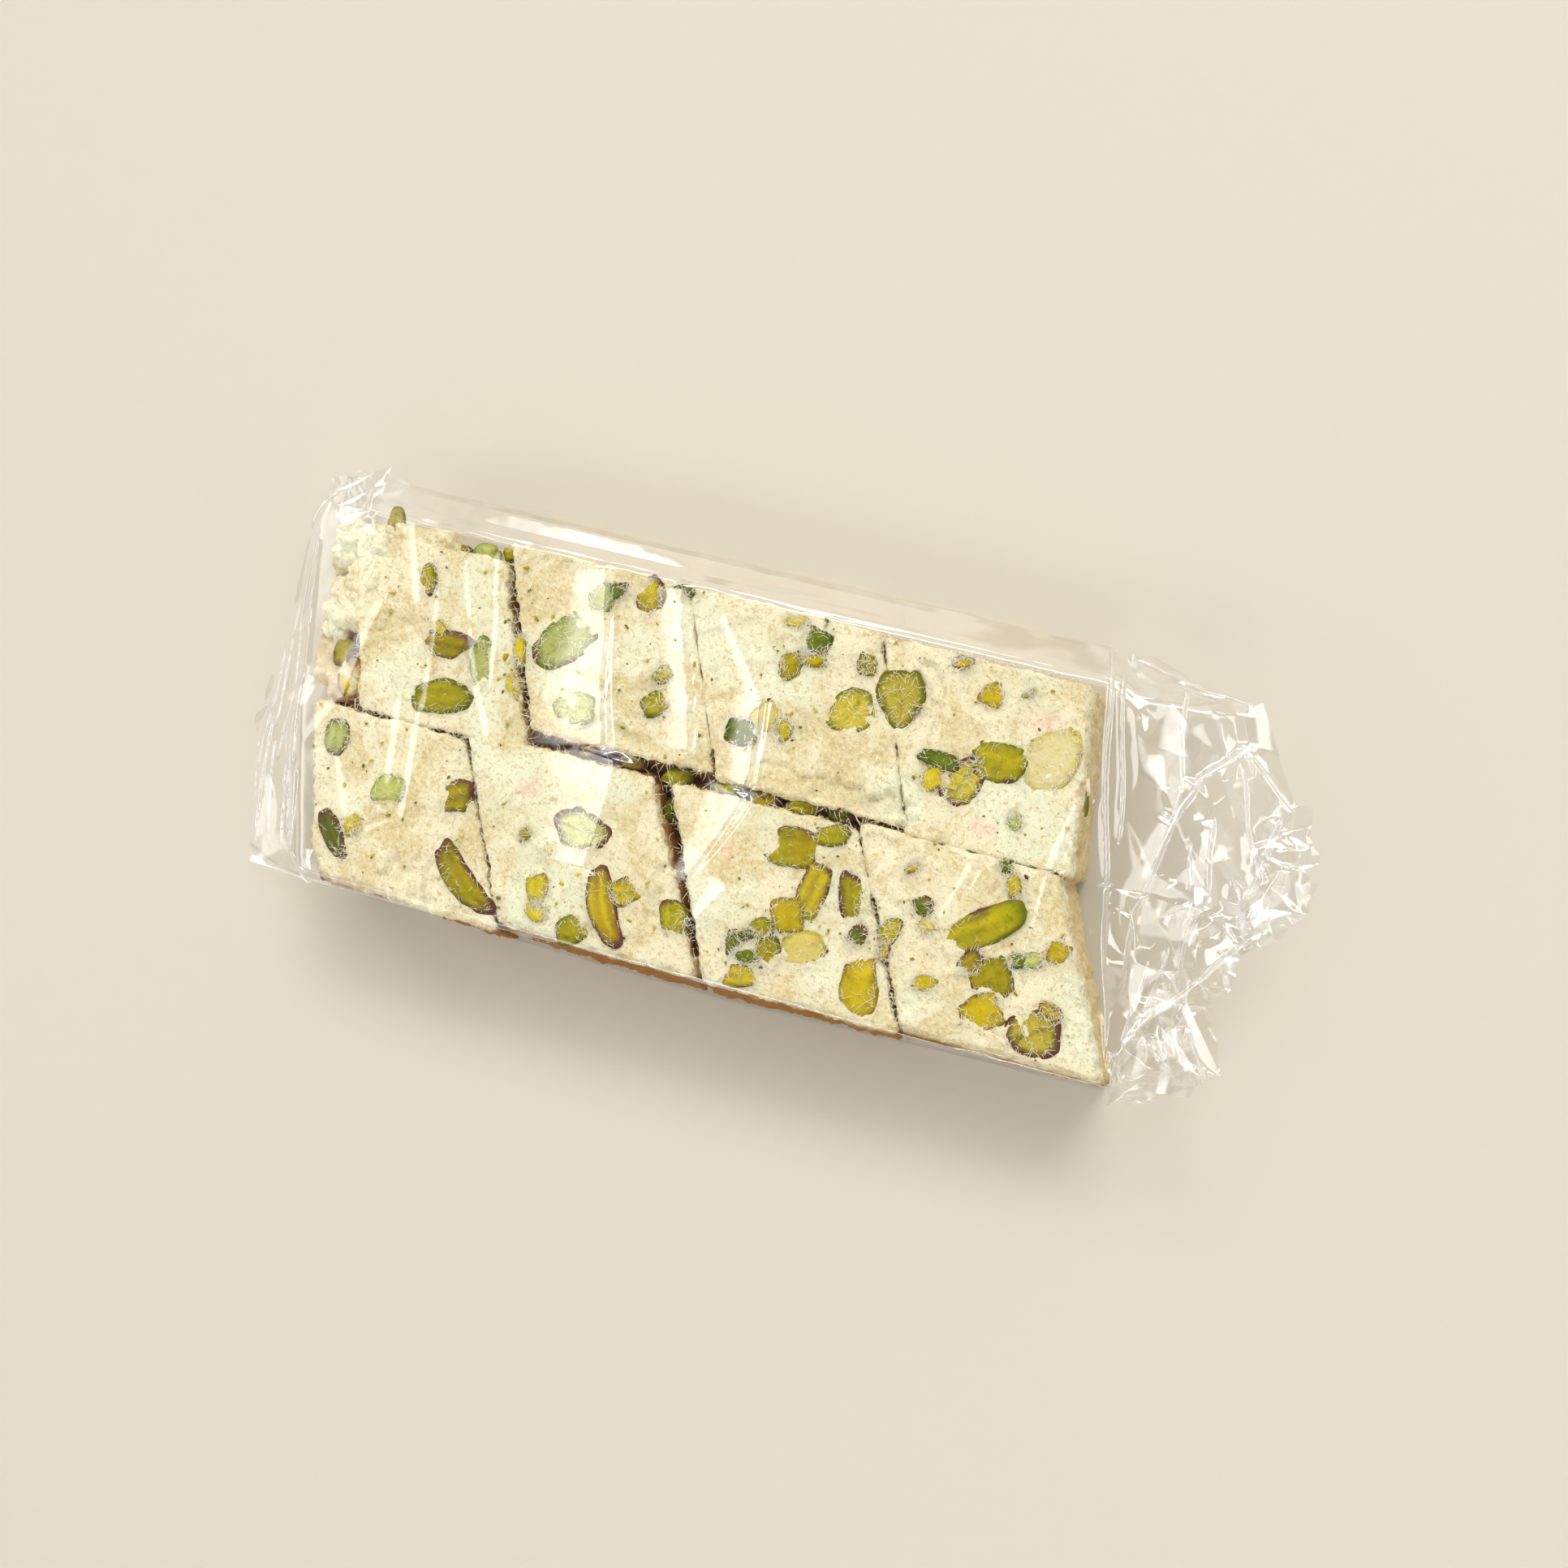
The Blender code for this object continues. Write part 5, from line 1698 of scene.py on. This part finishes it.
# bright panels: turn round from +X and lean from overhead, half width and half
# length in degrees, and brightness
PANELS = [
    (180, 33, 8, 26, 4.1),
    (90, 54, 8, 24, 9.0),
    (20, 42, 6, 14, 6.5),
    (270, 48, 5, 16, 6.5),
    (225, 62, 6, 10, 9.0),
    (140, 64, 6, 10, 9.0),
    (330, 30, 4, 9, 5.0),
    (180, 66, 13, 50, 1.5),
    (80, 72, 12, 45, 1.3),
    (355, 62, 13, 40, 1.2),
    (262, 66, 12, 45, 1.1),
]
# where a panel's soft edge ends and begins, against its half size
PANEL_SOFT = (1.12, 0.58)
KEY_LAMP = ("key_lamp", (0.25, 0.95, 1.10), 0.5, 5.1)
# how much of the room's light the matt surfaces take
ROOM_ON_MATT = 0.56


def table_top():
    bpy.ops.object.select_all(action="DESELECT")
    bpy.ops.mesh.primitive_plane_add(size=TABLE_SIZE)
    ground = bpy.context.object
    ground.name = "table"
    material, _, shader, _ = new_material("table")
    shader.inputs["Base Color"].default_value = TABLE_COLOR
    shader.inputs["Roughness"].default_value = 0.8
    shader.inputs["Specular IOR Level"].default_value = 0.1
    ground.data.materials.append(material)


def panel(tree, towards, turn, lean, half_width, half_length, glow):
    """The light of one soft-edged panel, as a socket."""
    lean_back = Matrix.Rotation(-math.radians(lean), 3, "Y")
    turn_back = Matrix.Rotation(-math.radians(turn), 3, "Z")
    aim = add(tree, "ShaderNodeMapping")
    aim.inputs["Rotation"].default_value = (lean_back @ turn_back).to_euler("XYZ")
    split = add(tree, "ShaderNodeSeparateXYZ")
    wire(tree, (towards, aim.inputs["Vector"]), (aim.outputs[0], split.inputs[0]))
    light = None
    for axis, half in ((0, half_width), (1, half_length)):
        off = add(tree, "ShaderNodeMath", operation="ABSOLUTE")
        tree.links.new(split.outputs[axis], off.inputs[0])
        edge = math.sin(math.radians(half))
        share = between(tree, off.outputs[0], edge * PANEL_SOFT[0], edge * PANEL_SOFT[1])
        light = share if light is None else maths(tree, "MULTIPLY", light, share)
    above = between(tree, split.outputs[2], 0.0, 0.1, 0.0, glow)
    return maths(tree, "MULTIPLY", light, above)


def room():
    world = bpy.data.worlds.new("room")
    bpy.context.scene.world = world
    world.use_nodes = True
    tree = world.node_tree
    towards = add(tree, "ShaderNodeTexCoord").outputs["Generated"]
    total = None
    for values in PANELS:
        light = panel(tree, towards, *values)
        total = light if total is None else maths(tree, "ADD", total, light)
    # the panels over an even glow, less of both for matt things, and only a plain
    # backdrop for the camera
    path = add(tree, "ShaderNodeLightPath")
    even = ranged(tree, path.outputs["Is Glossy Ray"], ROOM_GLOW, ROOM_MIRRORED)
    share = ranged(tree, path.outputs["Is Diffuse Ray"], 1.0, ROOM_ON_MATT)
    strength = maths(tree, "MULTIPLY", maths(tree, "ADD", total, even), share)
    glow = tree.nodes["Background"]
    glow.inputs["Color"].default_value = ROOM_COLOR
    seen = add(tree, "ShaderNodeBackground")
    seen.inputs["Color"].default_value = ROOM_COLOR
    seen.inputs["Strength"].default_value = BACKDROP_GLOW
    mixed = add(tree, "ShaderNodeMixShader")
    wire(
        tree,
        (strength, glow.inputs["Strength"]),
        (path.outputs["Is Camera Ray"], mixed.inputs[0]),
        (glow.outputs[0], mixed.inputs[1]),
        (seen.outputs[0], mixed.inputs[2]),
        (mixed.outputs[0], tree.nodes["World Output"].inputs["Surface"]),
    )


def lamp(name, place, size, watts):
    light = bpy.data.lights.new(name, "AREA")
    light.size = size
    light.energy = watts
    item = set_out(name, light)
    item.location = place
    item.rotation_euler = (-Vector(place)).to_track_quat("-Z", "Y").to_euler()
    item.visible_glossy = False


def camera():
    lens = bpy.data.cameras.new("camera")
    lens.lens = CAMERA_LENS
    lens.sensor_width = 36.0
    lens.clip_start = 0.01
    item = set_out("camera", lens)
    right = CAMERA_AHEAD.cross(CAMERA_UP).normalized()
    up = right.cross(CAMERA_AHEAD).normalized()
    turn = Matrix((right, up, -CAMERA_AHEAD.normalized())).transposed()
    item.matrix_world = Matrix.Translation(CAMERA_PLACE) @ turn.to_4x4()
    bpy.context.scene.camera = item


table_top()
room()
lamp(*KEY_LAMP)
camera()
bpy.context.scene.view_settings.view_transform = "Standard"
